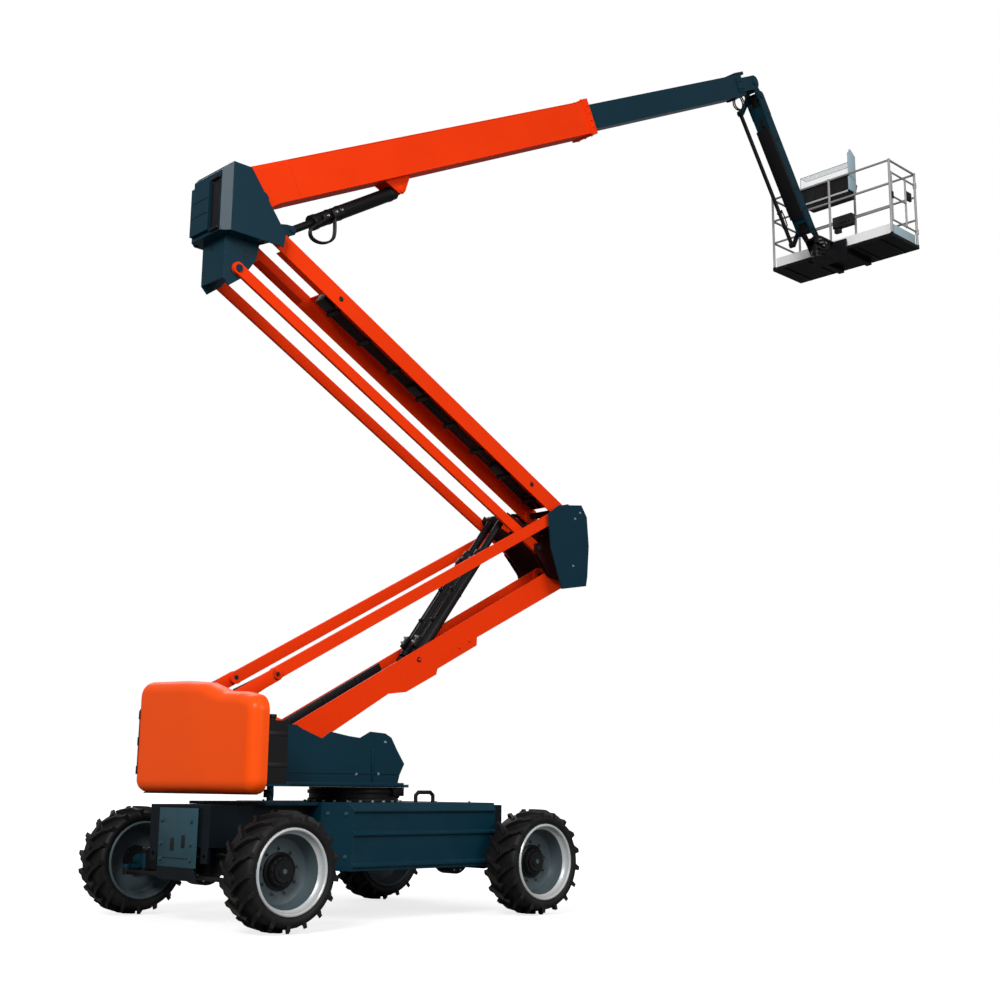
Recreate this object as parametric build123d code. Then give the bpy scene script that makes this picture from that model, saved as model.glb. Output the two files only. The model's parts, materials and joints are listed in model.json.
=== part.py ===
"""Articulating boom lift: a wheeled chassis, a slewing turntable, a folding double riser,
a telescopic main boom, a jib and a work platform. Millimetres, +Z up, +X towards the platform.
The origin lies on the floor, midway between the axles and on the centre line.
"near" pieces are on the -Y side and "far" pieces on the +Y side; the rear wheels steer."""
import os
from math import atan2, cos, degrees, radians, sin
from build123d import *

os.makedirs("parts", exist_ok=True)

# ---- clearances -------------------------------------------------------------------------
PIN_GAP = 0.3            # running clearance round a pin, on the radius
SIDE_GAP = 2.0           # side clearance between an arm's boss and the plates it turns in
SEAT_GAP = 0.3           # clearance where one fixed piece rests on another

# ---- wheels and axles -------------------------------------------------------------------
WHEELBASE = 2700.0
OVERALL_WIDTH = 2490.0
TYRE_DIAMETER = 900.0
TYRE_WIDTH = 355.0
RIM_DIAMETER = 616.0     # over the bead seats
RIM_WALL = 14.0
AXLE_X = WHEELBASE / 2
WHEEL_Z = TYRE_DIAMETER / 2
WHEEL_Y = (OVERALL_WIDTH - TYRE_WIDTH) / 2
TYRE_INNER_Y = OVERALL_WIDTH / 2 - TYRE_WIDTH
KINGPIN_Y = TYRE_INNER_Y - 40
KINGPIN_RADIUS = 28.0
SPINDLE_RADIUS = 38.0
HUB_RADIUS = 125.0
HUB_FACE_Y = WHEEL_Y - 60        # where a wheel hub starts, measured out from the centre line
HUB_LENGTH = 110.0
DISC_Y = 20.0                    # the wheel disc lies this far inside the tyre's middle
STEER_ARM = 190.0                # kingpin to tie rod end, along X
AXLE_HALF_HEIGHT = 75.0
AXLE_HALF_DEPTH = 80.0
FORK_REACH = 92.0                # a kingpin fork's height above and below the axle line
FORK_PLATE = 30.0
DIFFERENTIAL_RADIUS = 150.0

# ---- chassis ----------------------------------------------------------------------------
CHASSIS_TOP = 950.0
CHASSIS_HALF_WIDTH = 440.0
CHASSIS_END = AXLE_X + 230
CORE_BOTTOM = 600.0
BELLY_BOTTOM = 400.0
BELLY_HALF_LENGTH = 760.0
DECK_PLATE = 25.0
DECK_HALF_WIDTH = 560.0
DECK_HALF_LENGTH = 1150.0
END_PLATE_BOTTOM = 340.0
COVER_HALF_WIDTH = TYRE_INNER_Y - 30
COVER_FRONT = AXLE_X - 220
COVER_REAR = 870 - AXLE_X
COVER_BOTTOM = 430.0
COVER_BEVEL = 60.0
LUG_HOLE_RADIUS = 20.0
TIE_DOWN_Y = 375.0
TIE_DOWN_Z = 530.0
TIE_DOWN_PLATE = 25.0

# ---- turntable --------------------------------------------------------------------------
SLEW_X = 170.0           # turntable axis
SLEW_RADIUS = 390.0
TURNTABLE_Z = CHASSIS_TOP + 125      # underside of the turntable's base plate
TURNTABLE_PLATE = 25.0
DECK_Z = TURNTABLE_Z + TURNTABLE_PLATE
FRAME_PLATE_Y = 440.0    # outer face of the turntable's side plates
FRAME_PLATE = 20.0
COWL_X = -1520.0
COWL_DEPTH = 150.0
COWL_HALF_WIDTH = 880.0
COWL_BOTTOM = CHASSIS_TOP + 65
COWL_CORNER = 100.0     # rounding all round the tail's rear face
COWL_WALL = 10.0
COWL_FRONT = COWL_X + COWL_DEPTH
HOOD_WALL = 12.0
HOOD_FRONT = 100.0

# ---- riser ------------------------------------------------------------------------------
RISER_ANGLE = 28.3       # both riser arms above the horizontal
LOWER_ARM_LENGTH = 3834.0
UPPER_ARM_LENGTH = 4200.0
ARM_PLATE = 12.0
LOWER_ARM_HALF_WIDTH = 157.0
UPPER_ARM_HALF_WIDTH = 220.0
UPPER_ARM_HALF_DEPTH = 85.0
LINK_DEPTH = 105.0
LINK_THICKNESS = 30.0
LINK_EYE = 56.0
KNEE_EAR = 14.0          # plates either side of an upper link's lower eye
LOWER_LINK_Y = 290.0
UPPER_LINK_Y = LOWER_ARM_HALF_WIDTH + 2 * SIDE_GAP + KNEE_EAR + LINK_THICKNESS / 2
MID_PLATE_Y = 350.0
MID_PLATE = 16.0
HEAD_HALF_WIDTH = 290.0
HEAD_FOOT_HALF_WIDTH = UPPER_LINK_Y - LINK_THICKNESS / 2 - SIDE_GAP     # the links straddle it
HEAD_PLATE = 16.0
ARM_PIN = 34.0
ARM_BOSS = 60.0
SMALL_PIN = 22.0
RISER_CYLINDER_Y = 80.0
RISER_BARREL_RADIUS = 58.0
RISER_ROD_RADIUS = 36.0

# ---- boom, jib and platform -------------------------------------------------------------
BOOM_ANGLE = 27.1
BOOM_TUBE_START = 190.0      # distances along the boom's centre line
BOOM_TUBE_END = 5160.0
BOOM_DEPTH = 370.0
BOOM_WIDTH = 280.0
BOOM_WALL = 10.0
BOOM_EAR = 12.0              # thickness of the cheek plates round the boom's foot
EXTENSION_DEPTH = 280.0
EXTENSION_WIDTH = 200.0
EXTENSION_WALL = 10.0
EXTENSION_INSIDE = 1900.0    # length that stays inside the boom at rest
HEAD_PIVOT_DISTANCE = 8780.0
LIFT_FOOT_LUG = 40.0     # inner face of the riser head's lugs for the boom's cylinder
LIFT_BARREL_RADIUS = 68.0
LIFT_HEAD_LUG = LIFT_BARREL_RADIUS + SIDE_GAP        # inner face of the boom's lugs for it
LIFT_LUG = 16.0
LIFT_ROD_RADIUS = 36.0
JIB_ANGLE = -54.3
JIB_LENGTH = 1884.0
JIB_DEPTH = 145.0
JIB_WIDTH = 200.0
JIB_ROD_Y = 155.0
JIB_ROD_RADIUS = 27.0
ROTATOR_HEIGHT = 240.0
ROTATOR_RADIUS = 85.0
ROTATOR_PIN = 32.0
PLATFORM_DEPTH = 660.0
PLATFORM_WIDTH = 1880.0
PLATFORM_HEIGHT = 1105.0
FLOOR_THICKNESS = 45.0
POST_RADIUS = 17.0
RAIL_RADIUS = 15.0
GATE_RADIUS = 13.0


def polar(start, angle, distance):
    """A point (x, z) at this distance from another, at an angle above +X."""
    return (start[0] + distance * cos(radians(angle)), start[1] + distance * sin(radians(angle)))


def shift(point, dx, dz):
    return (point[0] + dx, point[1] + dz)


def along(start, angle, distance, above):
    """A point so far along a line and so far above it, where a line to the left keeps its top up."""
    side = 90 if cos(radians(angle)) > 0 else -90
    return polar(polar(start, angle, distance), angle + side, above)


# ---- pivots in the side view, (x, z) ----------------------------------------------------
LOWER_ARM_FOOT = (-720.0, TURNTABLE_Z + 357)
LOWER_ARM_HEAD = polar(LOWER_ARM_FOOT, RISER_ANGLE, LOWER_ARM_LENGTH)
LOWER_LINK_OFFSET = (-203.0, 558.0)
LOWER_LINK_FOOT = shift(LOWER_ARM_FOOT, *LOWER_LINK_OFFSET)
LOWER_LINK_HEAD = shift(LOWER_ARM_HEAD, *LOWER_LINK_OFFSET)
UPPER_ARM_ANGLE = 180 - RISER_ANGLE
UPPER_ARM_FOOT = shift(LOWER_ARM_HEAD, -63.0, 632.0)
UPPER_ARM_HEAD = polar(UPPER_ARM_FOOT, UPPER_ARM_ANGLE, UPPER_ARM_LENGTH)
UPPER_LINK_OFFSET = (-304.0, -422.0)
UPPER_LINK_FOOT = shift(UPPER_ARM_FOOT, *UPPER_LINK_OFFSET)
UPPER_LINK_HEAD = shift(UPPER_ARM_HEAD, *UPPER_LINK_OFFSET)
RISER_FOOT_REACH = LOWER_ARM_LENGTH - 2140     # the riser cylinders' foot pin, measured back from the arm's head
RISER_CYLINDER_FOOT = along(LOWER_ARM_FOOT, RISER_ANGLE, RISER_FOOT_REACH, 0)
RISER_CYLINDER_HEAD = shift(LOWER_ARM_HEAD, -749.0, 477.0)      # on the knee's long ears
BOOM_START = shift(UPPER_ARM_HEAD, -300.0, 311.0)    # where distances along the boom begin
BOOM_FOOT = shift(UPPER_ARM_HEAD, -145.0, 247.0)     # its pivot, under its centre line
BOOM_CYLINDER_FOOT = shift(BOOM_START, 640.0, -150.0)
BOOM_CYLINDER_DROP = 300.0           # the cylinder's upper pin below the boom's centre line
BOOM_CYLINDER_HEAD = along(BOOM_START, BOOM_ANGLE, 1960.0, -BOOM_CYLINDER_DROP)
HEAD_PIVOT = polar(BOOM_START, BOOM_ANGLE, HEAD_PIVOT_DISTANCE)
JIB_FOOT = shift(HEAD_PIVOT, 146.0, -139.0)
JIB_HEAD = polar(JIB_FOOT, JIB_ANGLE, JIB_LENGTH)
JIB_ROD_OFFSET = (-110.0, -200.0)
JIB_ROD_FOOT = shift(JIB_FOOT, *JIB_ROD_OFFSET)
JIB_ROD_HEAD = shift(JIB_HEAD, *JIB_ROD_OFFSET)
ROTATOR_X = JIB_HEAD[0] + 270
ROTATOR_Z = JIB_HEAD[1] - 170
PLATFORM_REAR_X = ROTATOR_X + 343.8      # rear rail and underside of the floor, from the rotator
PLATFORM_Z = ROTATOR_Z + 0.5


# ---- small shape helpers ----------------------------------------------------------------
def plate(points, y0, y1):
    """A flat plate standing along the boom: an outline of (x, z) corners, from y0 to y1."""
    low, high = sorted((y0, y1))
    wire = Polyline(*[(x, low, z) for x, z in points], close=True)
    return extrude(make_face(wire), amount=high - low, dir=(0, 1, 0))


def strip(start, end, below, above, y0, y1, before=0, beyond=0):
    """A rectangular plate laid along the line from start to end, and past its ends."""
    angle = degrees(atan2(end[1] - start[1], end[0] - start[0]))
    a, b = polar(start, angle, -before), polar(end, angle, beyond)
    corners = [polar(a, angle - 90, below), polar(b, angle - 90, below)]
    corners += [polar(b, angle + 90, above), polar(a, angle + 90, above)]
    return plate(corners, y0, y1)


def pin(point, radius, y0, y1):
    """A round bar across the machine."""
    low, high = sorted((y0, y1))
    return Solid.make_cylinder(radius, high - low, Plane(origin=(point[0], low, point[1]), z_dir=(0, 1, 0)))


def upright(x, y, z0, z1, radius):
    """A round bar standing up."""
    return Solid.make_cylinder(radius, z1 - z0, Plane(origin=(x, y, z0), z_dir=(0, 0, 1)))


def rod(a, b, radius):
    """A round bar between two points in space."""
    direction = Vector(*b) - Vector(*a)
    return Solid.make_cylinder(radius, direction.length, Plane(origin=a, z_dir=direction))


def block(x0, x1, y0, y1, z0, z1):
    """A box between two corners; the two y values may come in either order."""
    low, high = sorted((y0, y1))
    sizes = (x1 - x0, high - low, z1 - z0)
    return Pos((x0 + x1) / 2, (low + high) / 2, (z0 + z1) / 2) * Box(*sizes)


def together(pieces):
    """Fuse pieces that meet into one solid."""
    whole = pieces[0]
    for piece in pieces[1:]:
        whole += piece
    return whole


def both_sides(shape):
    """A piece and its mirror image across the centre line."""
    return [shape, shape.mirror(Plane.XZ)]


# ---- chassis ----------------------------------------------------------------------------
def chassis_frame():
    """Welded box frame: narrow at the wheels, deeper between them, with end plates and a deck."""
    deck_low = CHASSIS_TOP - DECK_PLATE
    width = CHASSIS_HALF_WIDTH
    frame = block(-CHASSIS_END, CHASSIS_END, -width, width, CORE_BOTTOM, deck_low)
    frame += block(-BELLY_HALF_LENGTH, BELLY_HALF_LENGTH, -width, width, BELLY_BOTTOM, deck_low)
    frame += block(-DECK_HALF_LENGTH, DECK_HALF_LENGTH, -DECK_HALF_WIDTH, DECK_HALF_WIDTH, deck_low, CHASSIS_TOP)
    for end in (-1, 1):
        # a waisted plate hangs from each end, ahead of the axle's middle
        outline = [(-290, CORE_BOTTOM + 1), (-300, deck_low - 60), (300, deck_low - 60), (290, CORE_BOTTOM + 1),
                   (255, 440), (310, END_PLATE_BOTTOM + 20), (200, END_PLATE_BOTTOM),
                   (-200, END_PLATE_BOTTOM), (-310, END_PLATE_BOTTOM + 20), (-255, 440)]
        x0, x1 = sorted((end * (CHASSIS_END - 1), end * (CHASSIS_END + 20)))
        wire = Polyline(*[(x0, y, z) for y, z in outline], close=True)
        end_plate = extrude(make_face(wire), amount=x1 - x0, dir=(1, 0, 0))
        for y in (-110, 105):
            end_plate -= block(x0 - 1, x1 + 1, y - 22, y + 22, 505, 580)
        frame += end_plate
        for side in (-1, 1):
            # a bracket under the frame holds each axle beam
            frame += block(end * AXLE_X - 110, end * AXLE_X + 110, side * 240, side * 360,
                           WHEEL_Z + AXLE_HALF_HEIGHT, CORE_BOTTOM + 1)
            # a flat lug under each corner of the core, its tie-down hole facing along the machine
            middle = side * TIE_DOWN_Y
            x0, x1 = sorted((end * (CHASSIS_END - 1), end * (CHASSIS_END - 1 - TIE_DOWN_PLATE)))
            lug = block(x0, x1, middle - 50, middle + 50, TIE_DOWN_Z - 50, CORE_BOTTOM + 1)
            hole = Cylinder(LUG_HOLE_RADIUS, 3 * TIE_DOWN_PLATE, rotation=(0, 90, 0))
            frame += lug - hole.moved(Location(((x0 + x1) / 2, middle, TIE_DOWN_Z)))
    return frame


# section of a side cover, (in from its outer face, height): a bevelled top, two ledges, recessed panels
COVER_SECTION = ((COVER_BEVEL, CHASSIS_TOP), (0, CHASSIS_TOP - COVER_BEVEL), (0, 878), (18, 866), (18, 722), (0, 708),
                 (0, 690), (18, 678), (18, 474), (0, 460), (0, 442), (18, 428), (18, COVER_BOTTOM - 20))


def side_covers():
    """Ribbed tool and tank boxes that hang between the wheels, with a slanting rear end."""
    inner = CHASSIS_HALF_WIDTH + SEAT_GAP
    tail = COVER_REAR - 150
    section = [(COVER_HALF_WIDTH - depth, z) for depth, z in COVER_SECTION]
    section += [(inner, COVER_BOTTOM - 20), (inner, CHASSIS_TOP)]
    wire = Polyline(*[(tail, y, z) for y, z in section], close=True)
    cover = extrude(make_face(wire), amount=COVER_FRONT - tail, dir=(1, 0, 0))
    # the rear end slants in behind the wheel, and the front one is cut back a little
    plan = Polyline((tail, 600, 0), (COVER_REAR, COVER_HALF_WIDTH + 1, 0), (tail - 1, COVER_HALF_WIDTH + 1, 0),
                    (tail - 1, 600, 0), close=True)
    cover -= extrude(make_face(plan), amount=CHASSIS_TOP + 1, dir=(0, 0, 1))
    nose = Polyline((COVER_FRONT - 35, COVER_HALF_WIDTH + 1, 0), (COVER_FRONT + 1, COVER_HALF_WIDTH - 60, 0),
                    (COVER_FRONT + 1, COVER_HALF_WIDTH + 1, 0), close=True)
    cover -= extrude(make_face(nose), amount=CHASSIS_TOP + 1, dir=(0, 0, 1))
    # the deck plate of the frame lies over the cover's inner edge
    deck_low = CHASSIS_TOP - DECK_PLATE - SEAT_GAP
    cover -= block(tail - 1, COVER_FRONT + 1, inner - 1, DECK_HALF_WIDTH + SEAT_GAP, deck_low, CHASSIS_TOP + 1)
    return Compound(children=both_sides(cover))


def slew_bearing():
    """The fixed ring that the turntable turns on."""
    axis = Plane(origin=(SLEW_X, 0, CHASSIS_TOP), z_dir=(0, 0, 1))
    height = TURNTABLE_Z - SEAT_GAP - CHASSIS_TOP
    ring = Solid.make_cylinder(SLEW_RADIUS, height, axis)
    return ring - Solid.make_cylinder(SLEW_RADIUS - 90, height, axis)


def axle_beam(end, reach):
    """The beam and its round middle housing, out to this distance on each side."""
    x = end * AXLE_X
    beam = block(x - AXLE_HALF_DEPTH, x + AXLE_HALF_DEPTH, -reach, reach,
                 WHEEL_Z - AXLE_HALF_HEIGHT + 15, WHEEL_Z + AXLE_HALF_HEIGHT)
    return beam + pin((x, WHEEL_Z), DIFFERENTIAL_RADIUS, -85, 85)


def steer_axle():
    """The rear axle, with a fork and a kingpin at each end."""
    x = -AXLE_X
    web_out, web_in = KINGPIN_Y - 70, KINGPIN_Y - 110
    low, high = WHEEL_Z - FORK_REACH, WHEEL_Z + FORK_REACH
    beam = axle_beam(-1, web_in + 1)
    for side in (-1, 1):
        y = side * KINGPIN_Y
        beam += block(x - 45, x + 45, side * web_in, side * web_out, low, high)
        for z0 in (low, high - FORK_PLATE):
            beam += block(x - 45, x + 45, side * web_in, y, z0, z0 + FORK_PLATE)
            beam += upright(x, y, z0, z0 + FORK_PLATE, 60)
        beam += upright(x, y, low, high, KINGPIN_RADIUS)
    return beam


def drive_axle():
    """The front axle, with a plain spindle for each wheel."""
    reach = HUB_FACE_Y - 30
    beam = axle_beam(1, reach - 30)
    for side in (-1, 1):
        beam += pin((AXLE_X, WHEEL_Z), 105, side * (reach - 60), side * reach)
        beam += pin((AXLE_X, WHEEL_Z), SPINDLE_RADIUS, side * reach, side * (HUB_FACE_Y + HUB_LENGTH - 20))
    return beam


def knuckle(side):
    """A steering knuckle: a boss round the kingpin, an arm for the tie rod and a wheel spindle."""
    x, y = -AXLE_X, side * KINGPIN_Y
    face = side * (HUB_FACE_Y - 5)
    body = upright(x, y, WHEEL_Z - 60, WHEEL_Z + 60, 58)
    body += pin((x, WHEEL_Z), 50, y, face)
    body += block(x - STEER_ARM - 22, x, y - 22, y + 22, WHEEL_Z - 55, WHEEL_Z - 25)
    body += upright(x - STEER_ARM, y, WHEEL_Z - 55, WHEEL_Z - 25, 32)
    body -= upright(x, y, WHEEL_Z - 61, WHEEL_Z + 61, KINGPIN_RADIUS + PIN_GAP)
    return body + pin((x, WHEEL_Z), SPINDLE_RADIUS, face, side * (HUB_FACE_Y + HUB_LENGTH - 20))


def tie_rod():
    """The cross rod between the two steering arms, under them."""
    x, z = -AXLE_X - STEER_ARM, WHEEL_Z - 82
    bar = rod((x, -KINGPIN_Y + 20, z), (x, KINGPIN_Y - 20, z), 18)
    for side in (-1, 1):
        bar += upright(x, side * KINGPIN_Y, z - 26, WHEEL_Z - 55 - SEAT_GAP, 30)
    return bar


def turned(section, x, y):
    """Revolve a (y, radius) outline about a wheel's axle."""
    wire = Polyline(*[(x, y + across, WHEEL_Z + radius) for across, radius in section], close=True)
    return revolve(make_face(wire), Axis((x, y, WHEEL_Z), (0, 1, 0)), 360)


def tyre(end, side):
    """A ring with bevelled shoulders, its bore seated on the rim."""
    half, outer, bore = TYRE_WIDTH / 2, TYRE_DIAMETER / 2, RIM_DIAMETER / 2
    section = [(half - 40, bore), (half, bore + 55), (half, outer - 62), (half - 52, outer),
               (-half + 52, outer), (-half, outer - 62), (-half, bore + 55), (-half + 40, bore)]
    return turned(section, end * AXLE_X, side * WHEEL_Y)


def rim(end, side):
    """A dished steel rim with its lips, disc and hub, turning on the spindle."""
    half, seat = TYRE_WIDTH / 2, RIM_DIAMETER / 2 - SEAT_GAP
    x, y = end * AXLE_X, side * WHEEL_Y
    well, bore = seat - RIM_WALL, SPINDLE_RADIUS + PIN_GAP
    wheel = turned([(-half + 25, seat), (-half + 25, well), (half - 25, well), (half - 25, seat)], x, y)
    for edge in (-1, 1):
        lip = [(half - 36, seat), (half - 22, seat), (half - 16, seat + 17), (half - 8, seat + 17),
               (half - 10, well), (half - 36, well)]
        wheel += turned([(edge * across, radius) for across, radius in lip], x, y)
    disc = -side * DISC_Y
    wheel += turned([(disc - 9, bore), (disc + 9, bore), (disc + 9, well + 2), (disc - 9, well + 2)], x, y)
    inner = side * (HUB_FACE_Y - WHEEL_Y)
    outer = inner + side * HUB_LENGTH
    return wheel + turned([(inner, bore), (outer, bore), (outer, HUB_RADIUS), (inner, HUB_RADIUS)], x, y)


# ---- turntable --------------------------------------------------------------------------
# top edge of each side plate, (x, height above the deck)
SIDE_PLATE_TOP = ((-1060, 470), (-870, 480), (-790, 475), (-720, 440), (-520, 370), (-430, 430),
                  (-240, 400), (-110, 388), (0, 445), (160, 435), (230, 400), (300, 290), (382, 178), (330, 80))
LINK_SHELF_Z = DECK_Z + 440          # the cross plate behind the tail that the link brackets stand on
LINK_BRACKET_REACH = 330.0           # how far a bracket follows its link's line, down from the pin


def turntable_frame():
    """The base plate and two side plates that carry the riser."""
    rear, side_y, wing_y = COWL_FRONT + SEAT_GAP, FRAME_PLATE_Y, COWL_HALF_WIDTH - 20
    base = Polyline((rear, -side_y, TURNTABLE_Z), (370, -side_y, TURNTABLE_Z), (600, -250, TURNTABLE_Z),
                    (600, 250, TURNTABLE_Z), (370, side_y, TURNTABLE_Z), (rear, side_y, TURNTABLE_Z), close=True)
    frame = extrude(make_face(base), amount=TURNTABLE_PLATE, dir=(0, 0, 1))
    frame += block(rear, -1150, -wing_y, wing_y, TURNTABLE_Z, DECK_Z)
    frame += block(-1151, HOOD_FRONT + 100, side_y - 20, wing_y, TURNTABLE_Z, DECK_Z)
    outline = [(rear, DECK_Z - 1), (rear, DECK_Z + 460)]
    outline += [(x, DECK_Z + height) for x, height in SIDE_PLATE_TOP] + [(308, DECK_Z - 1)]
    for wall in both_sides(plate(outline, side_y - FRAME_PLATE, side_y)):
        frame += wall
    frame += block(200, 216, -side_y + 1, side_y - 1, DECK_Z - 1, DECK_Z + 230)
    inner = side_y - FRAME_PLATE / 2
    shelf = (rear + 10, -1120)
    frame += block(*shelf, 1 - side_y, side_y - 1, LINK_SHELF_Z, LINK_SHELF_Z + FRAME_PLATE)
    tail = polar(LOWER_LINK_FOOT, RISER_ANGLE + 180, LINK_BRACKET_REACH)
    bracket = [along(LOWER_LINK_FOOT, RISER_ANGLE, 0, -50), (shelf[1], tail[1] - 20), (shelf[1], LINK_SHELF_Z + 1),
               (shelf[0] + 20, LINK_SHELF_Z + 1), (shelf[0] + 20, tail[1] + 10), shift(tail, -20, 60),
               along(LOWER_LINK_FOOT, RISER_ANGLE, 0, 50)]
    bracket_y = LOWER_LINK_Y + LINK_THICKNESS / 2 + SIDE_GAP
    for side in (-1, 1):
        # bosses bring the side plates in to the arm; a bracket outside each link holds its foot
        frame += pin(LOWER_ARM_FOOT, ARM_BOSS, side * (LOWER_ARM_HALF_WIDTH + SIDE_GAP), side * inner)
        frame += plate(bracket, side * bracket_y, side * (bracket_y + FRAME_PLATE))
        frame += pin(LOWER_LINK_FOOT, 50, side * bracket_y, side * (bracket_y + FRAME_PLATE))
        frame += pin(LOWER_LINK_FOOT, SMALL_PIN, side * (LOWER_LINK_Y - LINK_THICKNESS / 2), side * (bracket_y + 5))
    frame += pin(LOWER_ARM_FOOT, ARM_PIN, -side_y, side_y)
    # the transport lock pin, lifted clear of the chassis deck
    return frame + upright(-1000, -side_y + 40, CHASSIS_TOP + 10, DECK_Z, 28)


# rear view of the tail, (y, height above its bottom edge, corner radius): high on the engine side
COWL_OUTLINE = ((-COWL_HALF_WIDTH, 0, 110), (-COWL_HALF_WIDTH, 740, 130), (-640, 790, 250), (-390, 805, 200),
                (-110, 888, 300), (200, 912, 600), (COWL_HALF_WIDTH, 930, 130), (COWL_HALF_WIDTH, 0, 110))


def tail_solid(inset, front):
    """The tail's outer form, drawn in by a distance on every side, from its face to this x."""
    width = COWL_HALF_WIDTH - inset
    corners, radii = [], []
    for y, z, radius in COWL_OUTLINE:
        height = z - inset if z > 0 else inset
        corners.append((COWL_X + inset, y * width / COWL_HALF_WIDTH, COWL_BOTTOM + height))
        radii.append(radius - inset)
    elevation = make_face(FilletPolyline(*corners, radius=radii, close=True))
    form = extrude(elevation, amount=front - COWL_X - inset, dir=(1, 0, 0))
    return fillet(form.faces().sort_by(Axis.X)[0].edges(), COWL_CORNER - inset)


def rear_cowl():
    """The painted tail cover: rounded corners, a top that falls to the near side, open in front."""
    return tail_solid(0, COWL_FRONT) - tail_solid(COWL_WALL, COWL_FRONT + 50)


def counterweight():
    """The cast ballast that fills the tail and reaches in between the side plates."""
    tail = tail_solid(COWL_WALL + SEAT_GAP, COWL_FRONT - 10)
    inner = FRAME_PLATE_Y - FRAME_PLATE - SEAT_GAP
    return tail + block(COWL_X + 60, -1075, -inner, inner, DECK_Z + SEAT_GAP, DECK_Z + 430)


def hydraulic_tank():
    """The tank on the near side, behind the tail."""
    rear = COWL_FRONT + SEAT_GAP
    return block(rear, rear + 190, -COWL_HALF_WIDTH + 15, -FRAME_PLATE_Y - SEAT_GAP, DECK_Z + SEAT_GAP, DECK_Z + 480)


# roof line of the engine bay, (x, height above the deck)
HOOD_TOP = ((COWL_FRONT + 1, 740), (-950, 730), (-300, 560), (HOOD_FRONT, 450))
HOOD_OUTER = COWL_HALF_WIDTH - 22
HINGE_X = COWL_FRONT + 20
HINGE_Y = HOOD_OUTER + 10
HINGE_HEIGHTS = (60, 340, 640)       # above the deck
HINGE_LEAF = 40.0


def engine_hood():
    """The fixed roof, walls and door post over the engine, open on its outer side."""
    inner = FRAME_PLATE_Y + SEAT_GAP
    floor = DECK_Z + SEAT_GAP
    top = [(x, DECK_Z + height) for x, height in HOOD_TOP]
    hood = plate(top + [shift(point, 0, -HOOD_WALL) for point in reversed(top)], inner, HOOD_OUTER)
    hood += plate([(top[0][0], floor), (HOOD_FRONT, floor)] + top[::-1], inner, inner + HOOD_WALL)
    hood += block(HOOD_FRONT - HOOD_WALL, HOOD_FRONT, inner, HOOD_OUTER, floor, top[-1][1] - HOOD_WALL / 2)
    hood += block(top[0][0], top[0][0] + 30, HOOD_OUTER - 30, HOOD_OUTER, floor, top[0][1] - HOOD_WALL / 2)
    for height in HINGE_HEIGHTS:
        z = DECK_Z + height
        hood += upright(HINGE_X, HINGE_Y, z, z + HINGE_LEAF, 9)
        hood += block(HINGE_X - 6, HINGE_X + 6, HOOD_OUTER - 1, HINGE_Y, z, z + HINGE_LEAF)
        hood += upright(HINGE_X, HINGE_Y, z, z + 2 * HINGE_LEAF, 5)
    return hood


def engine_door():
    """The outer panel of the engine bay, hinged on its rear upright edge."""
    y0, y1 = HINGE_Y - HOOD_WALL / 2, HINGE_Y + HOOD_WALL / 2
    rear, low = HINGE_X + 14, DECK_Z + 8
    outline = [(rear, low), (HOOD_FRONT - 6, low)] + [(x - 6, DECK_Z + z - 4) for x, z in HOOD_TOP[:0:-1]]
    outline += [(rear, DECK_Z + HOOD_TOP[0][1] - 4)]
    door = plate(outline, y0, y1)
    for height in HINGE_HEIGHTS:
        z0, z1 = DECK_Z + height + HINGE_LEAF + SEAT_GAP, DECK_Z + height + 2 * HINGE_LEAF
        door += block(HINGE_X, rear + 1, y0, y1, z0, z1)
        door += upright(HINGE_X, HINGE_Y, z0, z1, 9)
        door -= upright(HINGE_X, HINGE_Y, z0 - 1, z1 + 1, 5 + PIN_GAP)
    return door


def engine():
    """The engine as one plain block."""
    return block(-1150, -250, FRAME_PLATE_Y + 40, FRAME_PLATE_Y + 340, DECK_Z + SEAT_GAP, DECK_Z + 460)


# ---- riser ------------------------------------------------------------------------------
# lower edge of the lower arm, (along, above the pivot line): deepest round the cylinders' feet
LOWER_ARM_EDGE = ((-90, -110), (450, -152), (RISER_FOOT_REACH - 469, -125), (RISER_FOOT_REACH - 274, -200),
                  (RISER_FOOT_REACH + 132, -212), (RISER_FOOT_REACH + 172, -172), (RISER_FOOT_REACH + 730, -182),
                  (RISER_FOOT_REACH + 771, -115), (LOWER_ARM_LENGTH - 54, -145))
LOWER_ARM_TIP = ((LOWER_ARM_LENGTH + 66, -60), (LOWER_ARM_LENGTH + 66, 60), (LOWER_ARM_LENGTH + 16, 84))


def lower_arm():
    """An open-topped channel with bosses at both ends and a deeper middle for the cylinders."""
    half, inner = LOWER_ARM_HALF_WIDTH, LOWER_ARM_HALF_WIDTH - ARM_PLATE
    edge = [along(LOWER_ARM_FOOT, RISER_ANGLE, *spot) for spot in LOWER_ARM_EDGE]
    raised = [along(LOWER_ARM_FOOT, RISER_ANGLE, d, above + ARM_PLATE) for d, above in LOWER_ARM_EDGE]
    top = [along(LOWER_ARM_FOOT, RISER_ANGLE, *spot) for spot in (*LOWER_ARM_TIP, (-90, 96))]
    arm = plate(edge[1:] + raised[:0:-1], -inner - 1, inner + 1)
    for side in (-1, 1):
        arm += plate(edge + top, side * inner, side * half)
        for point in (LOWER_ARM_FOOT, LOWER_ARM_HEAD):
            arm += pin(point, 85, side * (half - 40), side * half)
        # spacers either side of the cylinders' foot pin
        arm += pin(RISER_CYLINDER_FOOT, 30, side * (RISER_CYLINDER_Y + 40), side * (inner + 1))
    for point in (LOWER_ARM_FOOT, LOWER_ARM_HEAD):
        arm -= pin(point, ARM_PIN + PIN_GAP, -half - 1, half + 1)
    return arm + pin(RISER_CYLINDER_FOOT, SMALL_PIN, -half, half)


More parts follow.
